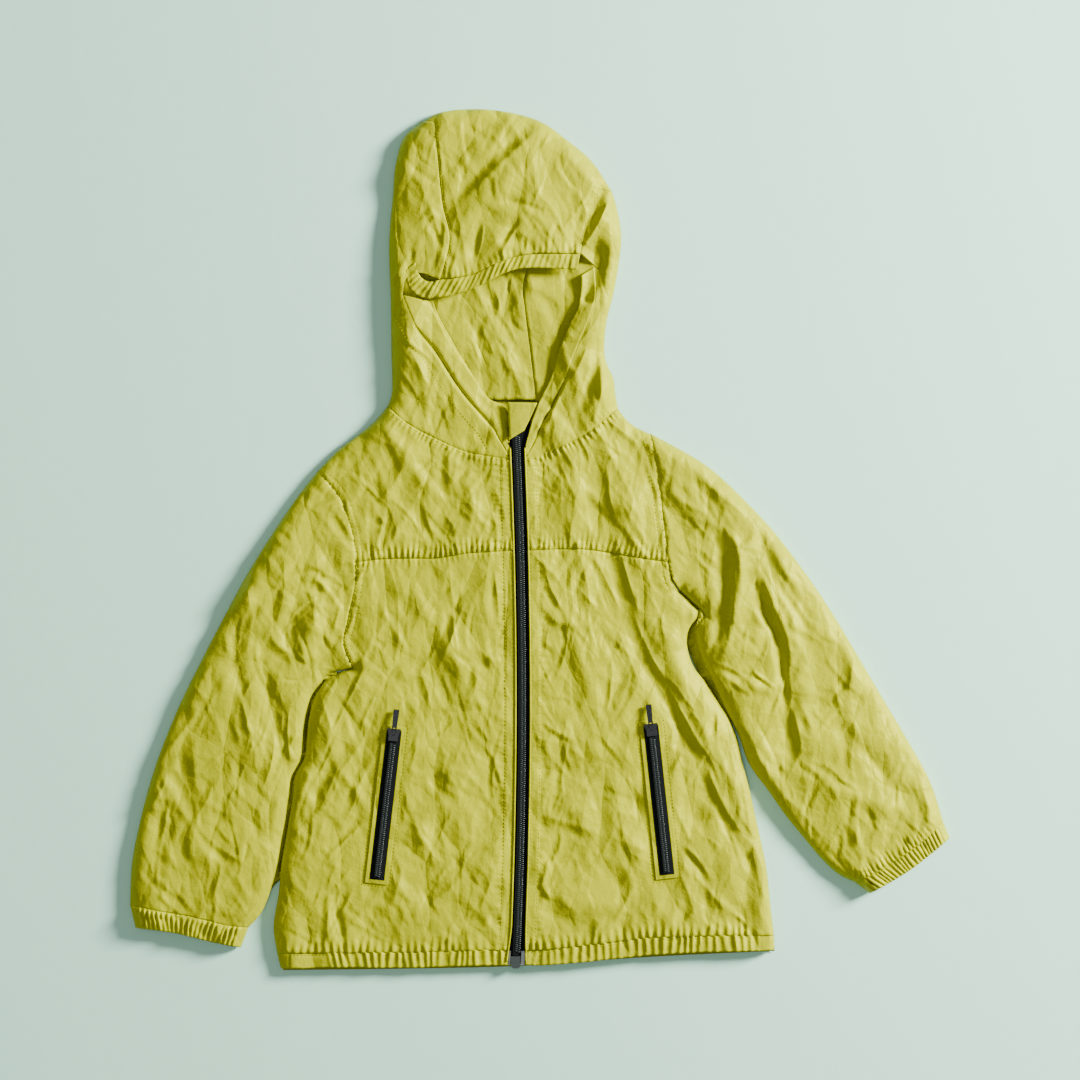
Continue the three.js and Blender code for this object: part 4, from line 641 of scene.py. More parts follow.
def signed_nearest(run, x, y):
    """Distance to a line, its sign (positive on its left) and how far along it that is."""
    p = np.asarray(run, float)
    d, share, nx, ny = nearest(p, x, y)
    i = np.minimum((share * (len(p) - 1)).astype(int), len(p) - 2)
    tx, ty = p[i + 1, 0] - p[i, 0], p[i + 1, 1] - p[i, 1]
    side = np.sign(tx * (y - ny) - ty * (x - nx))
    return d, side, np.interp(share * (len(p) - 1), np.arange(len(p)), lengths(p))


def pucker(along, across, pitch, seed):
    """Uneven little ridges across a line: 0 in the hollows, 1 on the crests."""
    shift = 1.1 * value_noise(along / (2.4 * pitch), along * 0 + seed, seed)
    lean = 0.22 * value_noise(along / (3 * pitch), along * 0 + 4.5, seed + 1)
    size = 0.72 + 0.4 * value_noise(along / (1.7 * pitch), along * 0 + 8.5, seed + 2)
    wave = 0.5 + 0.5 * np.cos(2 * np.pi * (along / pitch + lean * across / pitch) + 2 * shift)
    return size * wave**1.4


# line, pitch, height and reach of the puckers on its left and on its right side,
# topstitching rows (distance from the seam, positive on the left)
SEAMS = [
    (sampled(L["yoke_seam"]), 4.6, (2.0, 11), (0.7, 5), (1.2, 8.5)),
    (sampled(back_along(R["yoke_seam"])), 4.6, (2.0, 11), (0.7, 5), (1.2, 8.5)),
    (sampled(L["armhole_low"]), 5.4, (0.9, 7), (1.5, 9), (-1.2, -6)),
    (sampled(L["armhole_high"]), 5.4, (0.9, 7), (1.5, 9), (-1.2, -6)),
    (sampled(R["armhole_low"]), 5.4, (1.5, 9), (0.9, 7), (1.2, 6)),
    (sampled(R["armhole_high"]), 5.4, (1.5, 9), (0.9, 7), (1.2, 6)),
    (sampled(L["neck"]), 4.6, (1.4, 7), (1.7, 7), (-1.4,)),
    (sampled(back_along(R["neck"])), 4.6, (1.4, 7), (1.7, 7), (-1.4,)),
    (sampled(L["hem_seam"]), 6.6, (2.0, 10), (0.0, 1), (-1.2,)),
    (sampled(back_along(R["hem_seam"])), 6.6, (2.0, 10), (0.0, 1), (-1.2,)),
    (sampled(L["cuff_seam"]), 4.2, (1.9, 10), (0.0, 1), ()),
    (sampled(R["cuff_seam"]), 4.2, (1.9, 10), (0.0, 1), ()),
    (sampled(L["crown"]), 9, (0.4, 5), (0.4, 5), (-1.2,)),
    (sampled(R["crown"]), 9, (0.4, 5), (0.4, 5), (1.2,)),
    (sampled(brim_top), 5.2, (1.2, 9), (0.0, 1), ()),
]

# open edges that cast a dark line: line, half width, depth
GROOVES = [(sampled(L["hood_face"])[24:132], 1.5, 3.4),
           (sampled(R["hood_face"])[10:70], 1.2, 2.0),
           (sampled(line([-10, 117], [-9.4, 100], [-8, 84])), 1.1, 2.5)]
SEAM_DIP, SEAM_HALF = 0.45, 1.1  # depth and half width of a seam's valley
ROW_DIP, ROW_HALF = 0.35, 0.7  # the same for a row of topstitching
print("seams", len(SEAMS), "grooves", len(GROOVES))


def seam_relief(x, y):
    """Seam valleys, puckers and topstitching grooves, added up."""
    z = np.zeros(x.shape)
    for seed, (run, pitch, left, right, rows) in enumerate(SEAMS):
        m = near_box(run, x, y, 3 * max(left[1], right[1]))
        if not m.any():
            continue
        d, side, along = signed_nearest(run, x[m], y[m])
        height = np.where(side > 0, left[0], right[0])
        reach = np.where(side > 0, left[1], right[1])
        lift = height * pucker(along, d, pitch, seed) * np.exp(-((d / reach) ** 2.2))
        dip = -SEAM_DIP * np.exp(-((d / SEAM_HALF) ** 2))
        for row in rows:
            dip -= ROW_DIP * np.exp(-(((d * side - row) / ROW_HALF) ** 2))
        z[m] += lift * np.clip(d / 1.5, 0.3, 1) + dip
    for run, width, depth in GROOVES:
        m = near_box(run, x, y, 3 * width)
        if m.any():
            d, share, _, _ = nearest(run, x[m], y[m])
            z[m] -= depth * np.sin(np.pi * share) ** 0.4 * np.exp(-((d / width) ** 2))
    return z


def placket_relief(x, y):
    """The turned edge of the fronts beside the zip, with its topstitching and small puckers."""
    inner = np.abs(x - zip_x(y)) - ZIP_HALF  # from the turned edge into the front

    def ridge(at, half):
        return np.exp(-(((inner - at) / half) ** 2))

    z = 0.55 * smooth((11 - inner) / 2.0) - 0.5 * ridge(9.4, 0.8) - 0.25 * ridge(1.6, 0.5)
    z += 0.45 * (pucker(y + 300, inner * np.sign(x - zip_x(y)), 4.2, 31) - 0.4) * ridge(5.5, 3.5)
    z += 0.8 * (pucker(y, inner, 6.0, 33) - 0.4) * ridge(12, 3.2)
    return np.where((y > HEM_Y) & (y < NECK_Y + 2) & (inner < 18), z, 0)


def relief(x, y):
    """All that stands up from the smooth lie of the upper layer."""
    z = add_creases(crinkles(x, y), x, y, CREASES, 2.0)
    z = calm(x, y) * add_creases(z, x, y, STRAY, 1.4)
    return add_hollows(z, x, y) + seam_relief(x, y) + placket_relief(x, y)


# %% [markdown]
# ## Pieces of cloth
# Each piece is a thin closed shell: its outer face follows the solid piece with the same name
# plus the creases, and its inner face lies just behind. The grid of each piece runs between
# its own four cut lines.

# %% grids and shells


def spread(bottom, top, left, right, s, t):
    """Places between four lines: s runs from left to right and t from bottom to top."""
    S, T = np.meshgrid(s, t)
    b, u, l, r = bottom(s)[None], top(s)[None], left(t)[:, None], right(t)[:, None]
    S, T = S[..., None], T[..., None]
    c = [start_of(bottom), end_of(bottom), start_of(top), end_of(top)]
    return (b * (1 - T) + u * T + l * (1 - S) + r * S
            - (1 - S) * (1 - T) * c[0] - S * (1 - T) * c[1] - (1 - S) * T * c[2] - S * T * c[3])


def shares(length, step, ends=()):
    """Even shares of a length, with closer ones at the turned ends."""
    near = np.array([0, 0.25, 0.8, 1.7, 3.0, 4.6, 6.4]) / length  # mm from a turned end
    lo = near if "start" in ends else np.array([0.0])
    hi = 1 - near[::-1] if "end" in ends else np.array([1.0])
    count = max(int(round((hi[0] - lo[-1]) * length / step)), 1)
    return np.concatenate([lo, np.linspace(lo[-1], hi[0], count + 1)[1:-1], hi])


def normals_of(P, around):
    """Unit normals of a grid of points."""
    if around:
        du = np.roll(P, -1, 1) - np.roll(P, 1, 1)
    else:
        du = np.gradient(P, axis=1)
    dv = np.gradient(P, axis=0)
    n = np.cross(du, dv)
    return n / np.maximum(np.linalg.norm(n, axis=-1, keepdims=True), 1e-9)


def tucked(P, side, width=1.5, drop=0.8):
    """Adds a seam allowance that runs on under the next piece."""
    edge, inner = (P[0], P[1]) if side == "start" else (P[-1], P[-2])
    out = edge - inner
    out = out / np.maximum(np.linalg.norm(out, axis=-1, keepdims=True), 1e-6)
    new = edge + out * width - np.array([0, 0, drop])
    new[:, 2] = np.maximum(new[:, 2], 0.2)
    return np.concatenate([new[None], P] if side == "start" else [P, new[None]])


def make_object(name, verts, faces, slot, body="jacket", smooth_shading=True):
    """An object that rides on a body. Its material is chosen later, from its slot."""
    mesh = bpy.data.meshes.new(name)
    mesh.from_pydata(verts.tolist(), [], faces if isinstance(faces, list) else faces.tolist())
    mesh.validate()
    if smooth_shading:
        mesh.shade_smooth()
    obj = bpy.data.objects.new(name, mesh)
    bpy.context.scene.collection.objects.link(obj)
    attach(obj, body)
    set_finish(obj, slot)
    return obj


def shell(name, P, thick=0.6, around=False, slot="shell", facing=1, tuck=None):
    """A closed shell behind a grid of points, in millimetres, made into an object."""
    P = tucked(P, tuck) if tuck else P
    n = normals_of(P, around) * facing
    rows, cols = P.shape[:2]
    verts = np.concatenate([P.reshape(-1, 3), (P - n * thick).reshape(-1, 3)]) * 0.001
    index = np.arange(rows * cols).reshape(rows, cols)
    nxt = np.roll(index, -1, 1) if around else index[:, 1:]
    cur = index if around else index[:, :-1]
    a, b, c, d = cur[:-1], nxt[:-1], nxt[1:], cur[1:]
    outer = np.stack([a, b, c, d], -1).reshape(-1, 4)
    back = rows * cols
    rims = [np.stack([nxt[0], cur[0], cur[0] + back, nxt[0] + back], -1),
            np.stack([cur[-1], nxt[-1], nxt[-1] + back, cur[-1] + back], -1)]
    if not around:
        lo, hi = index[:, 0], index[:, -1]
        rims += [np.stack([lo[:-1], lo[1:], lo[1:] + back, lo[:-1] + back], -1),
                 np.stack([hi[1:], hi[:-1], hi[:-1] + back, hi[1:] + back], -1)]
    faces = np.concatenate([outer, outer[:, ::-1] + back] + rims)
    if facing < 0:
        faces = faces[:, ::-1]
    return make_object(name, verts, faces, slot)

# %% [markdown]
# ## Fronts, yokes and back
# The two lower fronts and the yokes above them are the largest pieces that show. The back lies
# underneath and shows at the neck and below the hem.

# %% fronts and yokes
STEP, FINE = 1.8, 1.15  # mm between grid lines, and along gathered seams
FRONT_WIDE, FRONT_LONG = 205, 342
pieces = {}


def on_top(xy, detail=1.0):
    """Places on the upper layer, lifted to the face of the cloth."""
    x, y = xy[..., 0], xy[..., 1]
    k = np.clip(to_turned_edge(x, y) / 9, 0, 1)
    z = upper_height(x, y) + (0.25 + 0.75 * k) * detail * relief(x, y)
    return np.stack([x, y, np.maximum(z, EDGE_HEIGHT * 0.9)], -1)


def underneath(xy):
    """Places on the lower layer, which lies on the floor."""
    x, y = xy[..., 0], xy[..., 1]
    return np.stack([x, y, lower_height(x, y)], -1)


def front(name, half, side, knot):
    left = chain((half["side"], knot), (half["armhole_low"], 1))
    grid = spread(half["hem_seam"], half["yoke_seam"], left, zip_edge(side, HEM_SEAM_Y, YOKE_Y),
                  shares(FRONT_WIDE, FINE, ("start",)), shares(FRONT_LONG, STEP))
    return shell(name, on_top(grid), facing=-side, tuck="end")


def yoke(name, half, side):
    left = chain((half["armhole_high"], 0.5), (half["shoulder"], 1))
    grid = spread(half["yoke_seam"], half["neck"], left, zip_edge(side, YOKE_Y, NECK_Y),
                  shares(140, FINE, ("start",)), shares(110, 1.5))
    return shell(name, on_top(grid), facing=-side)


pieces["front_left"] = front("cloth_front_left", L, -1, 0.74)
pieces["front_right"] = front("cloth_front_right", R, 1, 0.93)
pieces["yoke_left"] = yoke("cloth_yoke_left", L, -1)
pieces["yoke_right"] = yoke("cloth_yoke_right", R, 1)

# %% back and the back half of the hem


def armhole(half):
    return chain((half["armhole_low"], 0.5), (half["armhole_high"], 1))


def back_side(half):
    return chain((half["side"], 0.62), (armhole(half), 0.9), (half["shoulder"], 1))


back_neck = chain((back_neck_left, 0.39), (back_neck_strip, 0.64), (back_neck_right, 1))


def back_piece(name, bottom, top, left, right, rows):
    grid = spread(bottom, top, left, right, shares(424, 4.5, ("start", "end")), rows)
    # the back and its hem wear the darker copy of the nylon, which is painted shade
    return shell(name, underneath(grid), thick=-0.6, slot="shell_inside")


pieces["back"] = back_piece("cloth_back", back_hem_seam, back_neck, back_side(L), back_side(R),
                            shares(470, 5))


pieces["hem_back"] = back_piece(
    "cloth_hem_back", back_hem_edge, back_hem_seam,
    straight(start_of(back_hem_edge), start_of(back_hem_seam)),
    straight(end_of(back_hem_edge), end_of(back_hem_seam)), shares(16, 3))
print("body pieces", {k: len(o.data.polygons) for k, o in pieces.items()})

# %% [markdown]
# ## Sleeves and cuffs
# Each sleeve is one tube that lies flat, so its upper layer is finely creased and its lower
# one lies smooth on the surface. The cuff is a narrow casing gathered over elastic.

# %% flat tubes
SLIT_REACH = 9.0  # mm


def under_slit(t, first, last):
    """How far the lower layer reaches towards the body, where the arm lies close to it."""
    return SLIT_REACH * smooth((t - first) / 0.04) * smooth((last - t) / 0.08)


def tube(name, bottom, top, left, right, width, length, gather=None, slit=None):
    """A flat tube between four lines: a fine upper layer and a plain lower one."""
    t = shares(length, STEP)
    up = shares(width, 0.8 if gather else FINE, ("start", "end"))
    down = shares(width, 9, ("start", "end"))[::-1][1:-1]
    above = spread(bottom, top, left, right, up, t)
    below = spread(bottom, top, left, right, down, t)
    if slit:
        reach = slit[0] * under_slit(t, slit[1], slit[2])
        below[..., 0] += reach[:, None] * (1 - down[None, :]) ** 6
    A = on_top(above)
    if gather:
        A[..., 2] += gather(up, t)
    A[:, [0, -1], 2] = EDGE_HEIGHT
    return shell(name, np.concatenate([A, underneath(below)], 1), around=True, tuck="start")


SLEEVE_WIDE = 125
# length, slit: towards which side the lower layer reaches, and between which shares of it
SLEEVES = [(L, "left", 340, (1, 0.05, 0.86)), (R, "right", 330, (-1, 0.0, 0.44))]
for half, tag, length, slit in SLEEVES:
    pieces[f"sleeve_{tag}"] = tube(
        f"cloth_sleeve_{tag}", armhole(half), half["cuff_seam"], half["sleeve_inner"],
        half["sleeve_outer"], SLEEVE_WIDE, length, slit=slit)
print("sleeves", [len(pieces[k].data.polygons) for k in ("sleeve_left", "sleeve_right")])

# %% cuffs
CUFF_WIDE, CUFF_LONG, CUFF_PITCH, CUFF_GATHER = 94, 19, 3.9, 2.3


def cuff_gathers(seed):
    """Ridges across the casing that die out at its two turned edges."""

    def at(s, t):
        along = s[None, :] * CUFF_WIDE + 0 * t[:, None]
        across = (t[:, None] - 0.5) * 10 + 0 * s[None, :]
        fade = np.clip(np.minimum(s, 1 - s) * CUFF_WIDE / 8, 0, 1)[None, :]
        arch = 0.35 + 0.65 * np.sin(np.pi * np.clip(t, 0, 1))[:, None] ** 0.5
        return fade * CUFF_GATHER * arch * pucker(along, across, CUFF_PITCH, seed)

    return at


for half, tag, seed in ((L, "left", 51), (R, "right", 52)):
    pieces[f"cuff_{tag}"] = tube(f"cloth_cuff_{tag}", half["cuff_seam"], half["cuff_edge"],
                                 half["cuff_inner"], half["cuff_outer"], CUFF_WIDE, CUFF_LONG,
                                 cuff_gathers(seed))

# %% [markdown]
# ## Hem
# The hem is turned up over elastic and stitched along its upper edge. It draws the cloth into
# some thirty ridges on each half.

# %% front halves of the hem


HEM_PITCH, HEM_GATHER = 6.6, 1.9


def hem(name, half, side, seed):
    s = shares(FRONT_WIDE, 0.9, ("start",))
    t = shares(14, 1.6)
    grid = spread(half["hem_edge"], half["hem_seam"], half["hem_side"],
                  zip_edge(side, HEM_Y, HEM_SEAM_Y), s, t)
    P = on_top(grid, detail=0.6)
    along = s[None, :] * FRONT_WIDE + 0 * t[:, None]
    across = t[:, None] * 12 + 0 * along
    plain = 0.2 if side < 0 else 0.04  # the share at the side seam that has no gathers
    ends = smooth((s - plain) * 20)[None, :] * smooth((1 - s) * 30)[None, :]
    arch = (0.55 + 0.45 * t)[:, None]
    P[..., 2] += HEM_GATHER * ends * arch * pucker(along, across, HEM_PITCH, seed)
    return shell(name, P, thick=1.0, facing=-side, tuck="end")


pieces["hem_front_left"] = hem("cloth_hem_left", L, -1, 61)
pieces["hem_front_right"] = hem("cloth_hem_right", R, 1, 62)

# %% [markdown]
# ## Hood
# Two side pieces and a centre strip, all laid out above the collar. Each turns over at the
# outer edge and comes back below, where its inside shows through the face opening. The brim
# is a casing gathered over elastic, and the sides end in turned bands.

# %% side pieces


def hood_side(name, half, facing):
    crown_end, edge_end = end_of(half["crown"]), end_of(half["hood_side"])
    inner = chain((half["hood_face"], 0.52), (half["hood_fold"], 0.6), (half["crown"], 1))
    t = shares(270, STEP)
    above = spread(back_along(half["neck"]), straight(crown_end, edge_end), inner,
                   half["hood_side"], shares(60, FINE, ("end",)), t)
    neck_in, seam_in = start_of(half["neck"]), start_of(half["hood_back_seam"])
    below = spread(straight(neck_in, seam_in), straight(edge_end, crown_end), half["hood_side"],
                   half["hood_back_seam"], shares(60, 3.5, ("start",))[1:], t)
    A = on_top(above)
    A[:, -1, 2] = EDGE_HEIGHT
    return shell(name, np.concatenate([A, inside(below)], 1), facing=facing, tuck="start")


def inside(xy):
    """The lower layer of the hood: its inner face shows, so it has its own soft creases."""
    P = underneath(xy)
    x, y = xy[..., 0], xy[..., 1]
    k = np.clip(to_turned_edge(x, y) / 12, 0, 1)
    z = add_creases(3.2 + crinkles(x + 300, y - 500), x, y, CREASES_INSIDE, 2.6)
    P[..., 2] += k * np.maximum(add_creases(z, x, y, STRAY, 1.6), 0.2)
    return P


pieces["hood_side_left"] = hood_side("cloth_hood_left", L, -1)
pieces["hood_side_right"] = hood_side("cloth_hood_right", R, 1)

# %% centre strip
top_l, top_r = start_of(hood_top), end_of(hood_top)
seam_l, seam_r = end_of(L["crown"]), end_of(R["crown"])
s = shares(150, FINE)
above = spread(brim_top, hood_top, chain((L["crown"], 0.93), (straight(seam_l, top_l), 1)),
               chain((R["crown"], 0.93), (straight(seam_r, top_r), 1)), s,
               shares(135, STEP, ("end",)))
below = spread(hood_top, back_neck_strip,
               chain((straight(top_l, seam_l), 0.05), (back_along(L["hood_back_seam"]), 1)),
               chain((straight(top_r, seam_r), 0.05), (back_along(R["hood_back_seam"]), 1)),
               s, shares(250, 2.6, ("start",))[1:])
A = on_top(above)
A[-1, :, 2] = EDGE_HEIGHT
pieces["hood_centre"] = shell("cloth_hood_centre", np.concatenate([A, inside(below)], 0))

# %% brim, bands and the zip's guard


def ribbon(name, first, second, length, width, lift, thick=0.8, facing=1, detail=0.4, end=1.0):
    """A narrow strip between two lines, raised by lift and cut short at a share of its length."""
    s, t = shares(length, 0.9) * end, shares(width, 1.5)
    grid = spread(first, second, straight(start_of(first), start_of(second)),
                  straight(end_of(first), end_of(second)), s, t)
    P = on_top(grid, detail=detail)
    P[..., 2] += lift(s[None, :] + 0 * t[:, None], t[:, None] + 0 * s[None, :])
    return shell(name, P, thick=thick, facing=facing)


pieces["hood_brim"] = ribbon(
    "cloth_brim", brim_edge, brim_top, 132, 12,
    lambda s, t: 1.1 * pucker(s * 132, t * 10, 5.8, 71) * np.sin(np.pi * (0.15 + 0.7 * t)))
free_left = line([-9.4, 86], [-10.4, 112], [-26, 121], [-42, 144.5], [-59, 170], [-76, 203])
free_right = line([6, 82], [14, 110], [27, 139], [34, 161], [41.5, 181], [52, 204], [53.5, 228])
pieces["hood_edge_left"] = ribbon(
    "cloth_band_left", L["hood_face"], free_left, 170, 14,
    lambda s, t: -3 * t * smooth((s - 0.12) / 0.28), facing=-1, detail=0.9)
pieces["hood_edge_right"] = ribbon(
    "cloth_band_right", R["hood_face"], free_right, 180, 12,
    lambda s, t: -2 * t * smooth((s - 0.12) / 0.28), end=0.98, detail=0.9)
twist_low = line([-76, 205], [-86, 207.5], [-94, 216], [-96.5, 229])
twist_top = line([-67, 221], [-76, 219], [-84, 224], [-88, 236])
twist = ribbon("cloth_brim_twist", twist_low, twist_top, 40, 12,
               lambda s, t: 1.5 * np.sin(np.pi * t) * (1 - 0.5 * s)
               + 1.2 * pucker(s * 40, t * 10, 6.5, 72) - 1.5 * s)
guard_low, guard_top = line([-8.4, 85], [4.6, 93]), line([-9.6, 117], [15.5, 116.5])
pieces["zip_guard"] = ribbon("cloth_guard", guard_low, guard_top, 24, 30,
                             lambda s, t: 4.4 + 0 * s, thick=1.0)

for node, obj in pieces.items():
    under = [node + "_under"] if node + "_under" in nodes else []
    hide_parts(node, *under)
print("cloth triangles", sum(len(o.data.polygons) for o in pieces.values()) * 2)

# %% [markdown]
# ## Stitches and turned edges
# A machine stitch shows as a short thread that sinks in at both ends. The rows follow the
# seams at the distances in the table of seams, the turned edges of the fronts and the pocket
# windows. A turned edge is a soft roll about one and a half millimetres thick.

# %% rows of stitches


def beside(run, off):
    """The line at a distance to the left of a run of points."""
    p = np.asarray(run, float)
    t = np.gradient(p, axis=0)
    t /= np.linalg.norm(t, axis=1, keepdims=True)
    return p + off * np.stack([-t[:, 1], t[:, 0]], -1)


def along_row(run, pitch):
    """Even places on a run of points and the direction at each."""
    at = lengths(run)
    s = np.arange(pitch, at[-1] - pitch, pitch)
    p = np.stack([np.interp(s, at, run[:, 0]), np.interp(s, at, run[:, 1])], -1)
    q = np.stack([np.interp(s + 0.5, at, run[:, 0]), np.interp(s + 0.5, at, run[:, 1])], -1)
    return p, (q - p) / 0.5


def pocket_axes(top, bottom):
    top, bottom = np.array(top, float), np.array(bottom, float)
    up = (top - bottom) / np.linalg.norm(top - bottom)
    return (top + bottom) / 2, np.array([up[1], -up[0]]), up


POCKETS = {"left": pocket_axes([-106, -161.5], [-121, -289]),
           "right": pocket_axes([112, -159], [125.5, -283])}


WINDOW_HALF, WINDOW_LONG = 6.35, 64  # half the width and half the length of a pocket's window


def pocket_ring(name, grow, per_side=30):
    """A rectangle around the pocket's window, larger by grow."""
    centre, across, up = POCKETS[name]
    w, l = WINDOW_HALF + grow, WINDOW_LONG + grow
    corners = np.array([[w, -l], [w, l], [-w, l], [-w, -l], [w, -l]])
    u = np.concatenate([np.linspace(corners[i], corners[i + 1], per_side, endpoint=False)
                        for i in range(4)] + [corners[-1:]])
    return centre + u[:, :1] * across + u[:, 1:] * up


rows = [beside(run, off) for run, _, _, _, offs in SEAMS for off in offs]
for side in (-1, 1):
    y = np.linspace(HEM_SEAM_Y - 8, NECK_Y + 4, 240)
    rows += [np.stack([zip_edge_x(side, y) + side * off, y], -1) for off in (1.9, 9.0)]
rows += [pocket_ring(name, grow) for name in POCKETS for grow in (1.7, 5.4)]
rows += [beside(sampled(L["hood_face"]), 12.5), beside(sampled(L["cuff_seam"]), 1.2)]

# %% threads


def beads(name, centres, axes, slot, rings=1, sides=4):
    """Small rounded bodies, each with three half axes, as one object."""
    C = np.asarray(centres, float)
    A, B, N = (np.asarray(v, float) for v in axes)
    polar = np.linspace(0, np.pi, rings + 2)[1:-1]
    turn = np.linspace(0, 2 * np.pi, sides, endpoint=False)
    unit = [(1, 0, 0)] + [(np.cos(p), np.sin(p) * np.cos(q), np.sin(p) * np.sin(q))
                          for p in polar for q in turn] + [(-1, 0, 0)]
    U = np.array(unit)
    verts = (C[:, None] + U[None, :, :1] * A[:, None] + U[None, :, 1:2] * B[:, None]
             + U[None, :, 2:] * N[:, None]).reshape(-1, 3) * 0.001
    n = len(unit)
    faces = []
    for i in range(sides):
        j = (i + 1) % sides
        faces.append((0, 1 + j, 1 + i))
        for r in range(rings - 1):
            a, b = 1 + r * sides, 1 + (r + 1) * sides
            faces += [(a + i, a + j, b + j), (a + i, b + j, b + i)]
        last = 1 + (rings - 1) * sides
        faces.append((n - 1, last + i, last + j))
    F = (np.array(faces)[None] + n * np.arange(len(C))[:, None, None]).reshape(-1, 3)
    return make_object(name, verts, F, slot)


def lifted(xy, up):
    P = on_top(xy[None])[0]
    P[:, 2] += up
    return P


STITCH, THREAD, HALF_STITCH = 3.1, 0.34, 1.05  # pitch, thread's half thickness, half length
P, D = (np.concatenate(v) for v in zip(*[along_row(r, STITCH) for r in rows]))
keep = to_turned_edge(P[:, 0], P[:, 1]) > 2.5
P, D = P[keep], D[keep]
D /= np.linalg.norm(D, axis=1, keepdims=True)
ends = [lifted(P + D * k, 0) for k in (-HALF_STITCH, HALF_STITCH)]
middle = (ends[0] + ends[1]) / 2
middle[:, 2] = np.maximum(middle[:, 2], lifted(P, 0)[:, 2]) + 0.12
A = (ends[1] - ends[0]) / 2
B = np.stack([-D[:, 1], D[:, 0], 0 * D[:, 0]], -1) * THREAD
beads("stitches", middle, (A, B, np.array([[0, 0, THREAD]]) + 0 * A), "shell")
print("stitches", len(P))

# %% turned edges beside the zips


def rolls(name, runs, radius, up, sides=6):
    """Soft rolls along lines on the cloth, as one object."""
    verts, faces, n = [], [], 0
    turn = np.linspace(0, 2 * np.pi, sides, endpoint=False)
    for run in runs:
        Q = lifted(run, up)
        t = np.gradient(Q, axis=0)
        t /= np.linalg.norm(t, axis=1, keepdims=True)
        b = np.stack([-t[:, 1], t[:, 0], 0 * t[:, 0]], -1)
        c = np.cross(t, b)
        r = radius * np.minimum(1, 0.3 + np.minimum(np.arange(len(Q)), np.arange(len(Q))[::-1]))
        ring = (Q[:, None] + r[:, None, None] * (np.cos(turn)[None, :, None] * b[:, None]
                                                 + np.sin(turn)[None, :, None] * c[:, None]))
        verts.append(ring.reshape(-1, 3))
        i = np.arange(len(Q) - 1)[:, None] * sides + np.arange(sides)[None] + n
        j = np.arange(len(Q) - 1)[:, None] * sides + (np.arange(sides)[None] + 1) % sides + n
        faces += np.stack([i, j, j + sides, i + sides], -1).reshape(-1, 4).tolist()
        faces += [list(range(n + sides - 1, n - 1, -1)),
                  [n + (len(Q) - 1) * sides + k for k in range(sides)]]
        n += len(Q) * sides
    return make_object(name, np.concatenate(verts) * 0.001, faces, "shell")


edge_runs = []
for side in (-1, 1):
    y = np.linspace(HEM_SEAM_Y - 9, NECK_Y + 10, 260)
    edge_runs.append(np.stack([zip_edge_x(side, y) + side * 0.5, y], -1))
edge_runs += [pocket_ring(name, 0.4) for name in POCKETS]
rolls("turned_edges", edge_runs, radius=0.75, up=0.35)
print("turned edges", len(edge_runs))

# %% [markdown]
# ## Zips
# Plastic coils are sewn in two rows onto woven tape: each loop shows as a small glossy bead.
# The pocket sliders flare to two horns at their mouths and carry long tapered pulls.

# %% coils


def top_of(node, xy):
    """Height of the node's upper face below each place, in millimetres."""
    obj = nodes[node]
    tree = BVHTree.FromPolygons([obj.matrix_world @ v.co for v in obj.data.vertices],
                                [list(p.vertices) for p in obj.data.polygons])
    out = []
    for px, py in xy:
        hit = tree.ray_cast((px / 1000, py / 1000, 1), (0, 0, -1))[0]
        out.append(np.nan if hit is None else hit.z * 1000)
    out = np.array(out)
    good = ~np.isnan(out)
    return np.interp(np.arange(len(out)), np.flatnonzero(good), out[good])


COIL_PITCH, COIL_OFF, LOOP = 1.75, 1.3, (1.45, 0.6, 0.6)  # LOOP is a loop's three half axes


def coil_rows(run, node):
    """Loops in two rows, the second row half a pitch on."""
    C, A, B = [], [], []
    for side in (-1, 1):
        p, d = along_row(run, COIL_PITCH)
        p = p + d * (COIL_PITCH / 2 if side > 0 else 0)
        z = top_of(node, p)
        a = np.stack([-d[:, 1], d[:, 0]], -1)
        C.append(np.column_stack([p + a * COIL_OFF * side, z + 0.1]))
        A.append(np.column_stack([a * LOOP[0], -0.12 * side + 0 * z]))
        B.append(np.column_stack([d * LOOP[1], 0 * z]))
    C, A, B = (np.concatenate(v) for v in (C, A, B))
    return C, A, B, np.array([[0, 0, LOOP[2]]]) + 0 * A


y = np.linspace(-352, 90, 240)
loops = [coil_rows(np.stack([zip_x(y), y], -1), "zip_chain")]
for name, (centre, across, up) in POCKETS.items():
    run = np.linspace(centre - up * 62.5, centre + up * 54, 60)
    loops.append(coil_rows(run, f"pocket_{name}_chain"))
C, A, B, N = (np.concatenate(v) for v in zip(*loops))
beads("coils", C, (A, B, N), "zip_plastic", rings=3, sides=6)
print("coil loops", len(C))

# %% sliders' mouths and the pulls
SLIDER_HALF = 5.25  # half a pocket slider's length, mm


def axes_on(at, up, reach=SLIDER_HALF):
    """Axes that stand on the cloth: x across the zip, y up along it, z out of the cloth."""
    height = lambda k: float(upper_height(*(np.array([v]) for v in at + up * k))[0])
    X = np.array([up[1], -up[0], 0])
    Y = np.array([up[0], up[1], (height(reach) - height(-reach)) / (2 * reach)])
    Y /= np.linalg.norm(Y)
    origin = np.array([*at, (height(reach) + height(-reach)) / 2])
    return np.stack([X, Y, np.cross(X, Y)]), origin


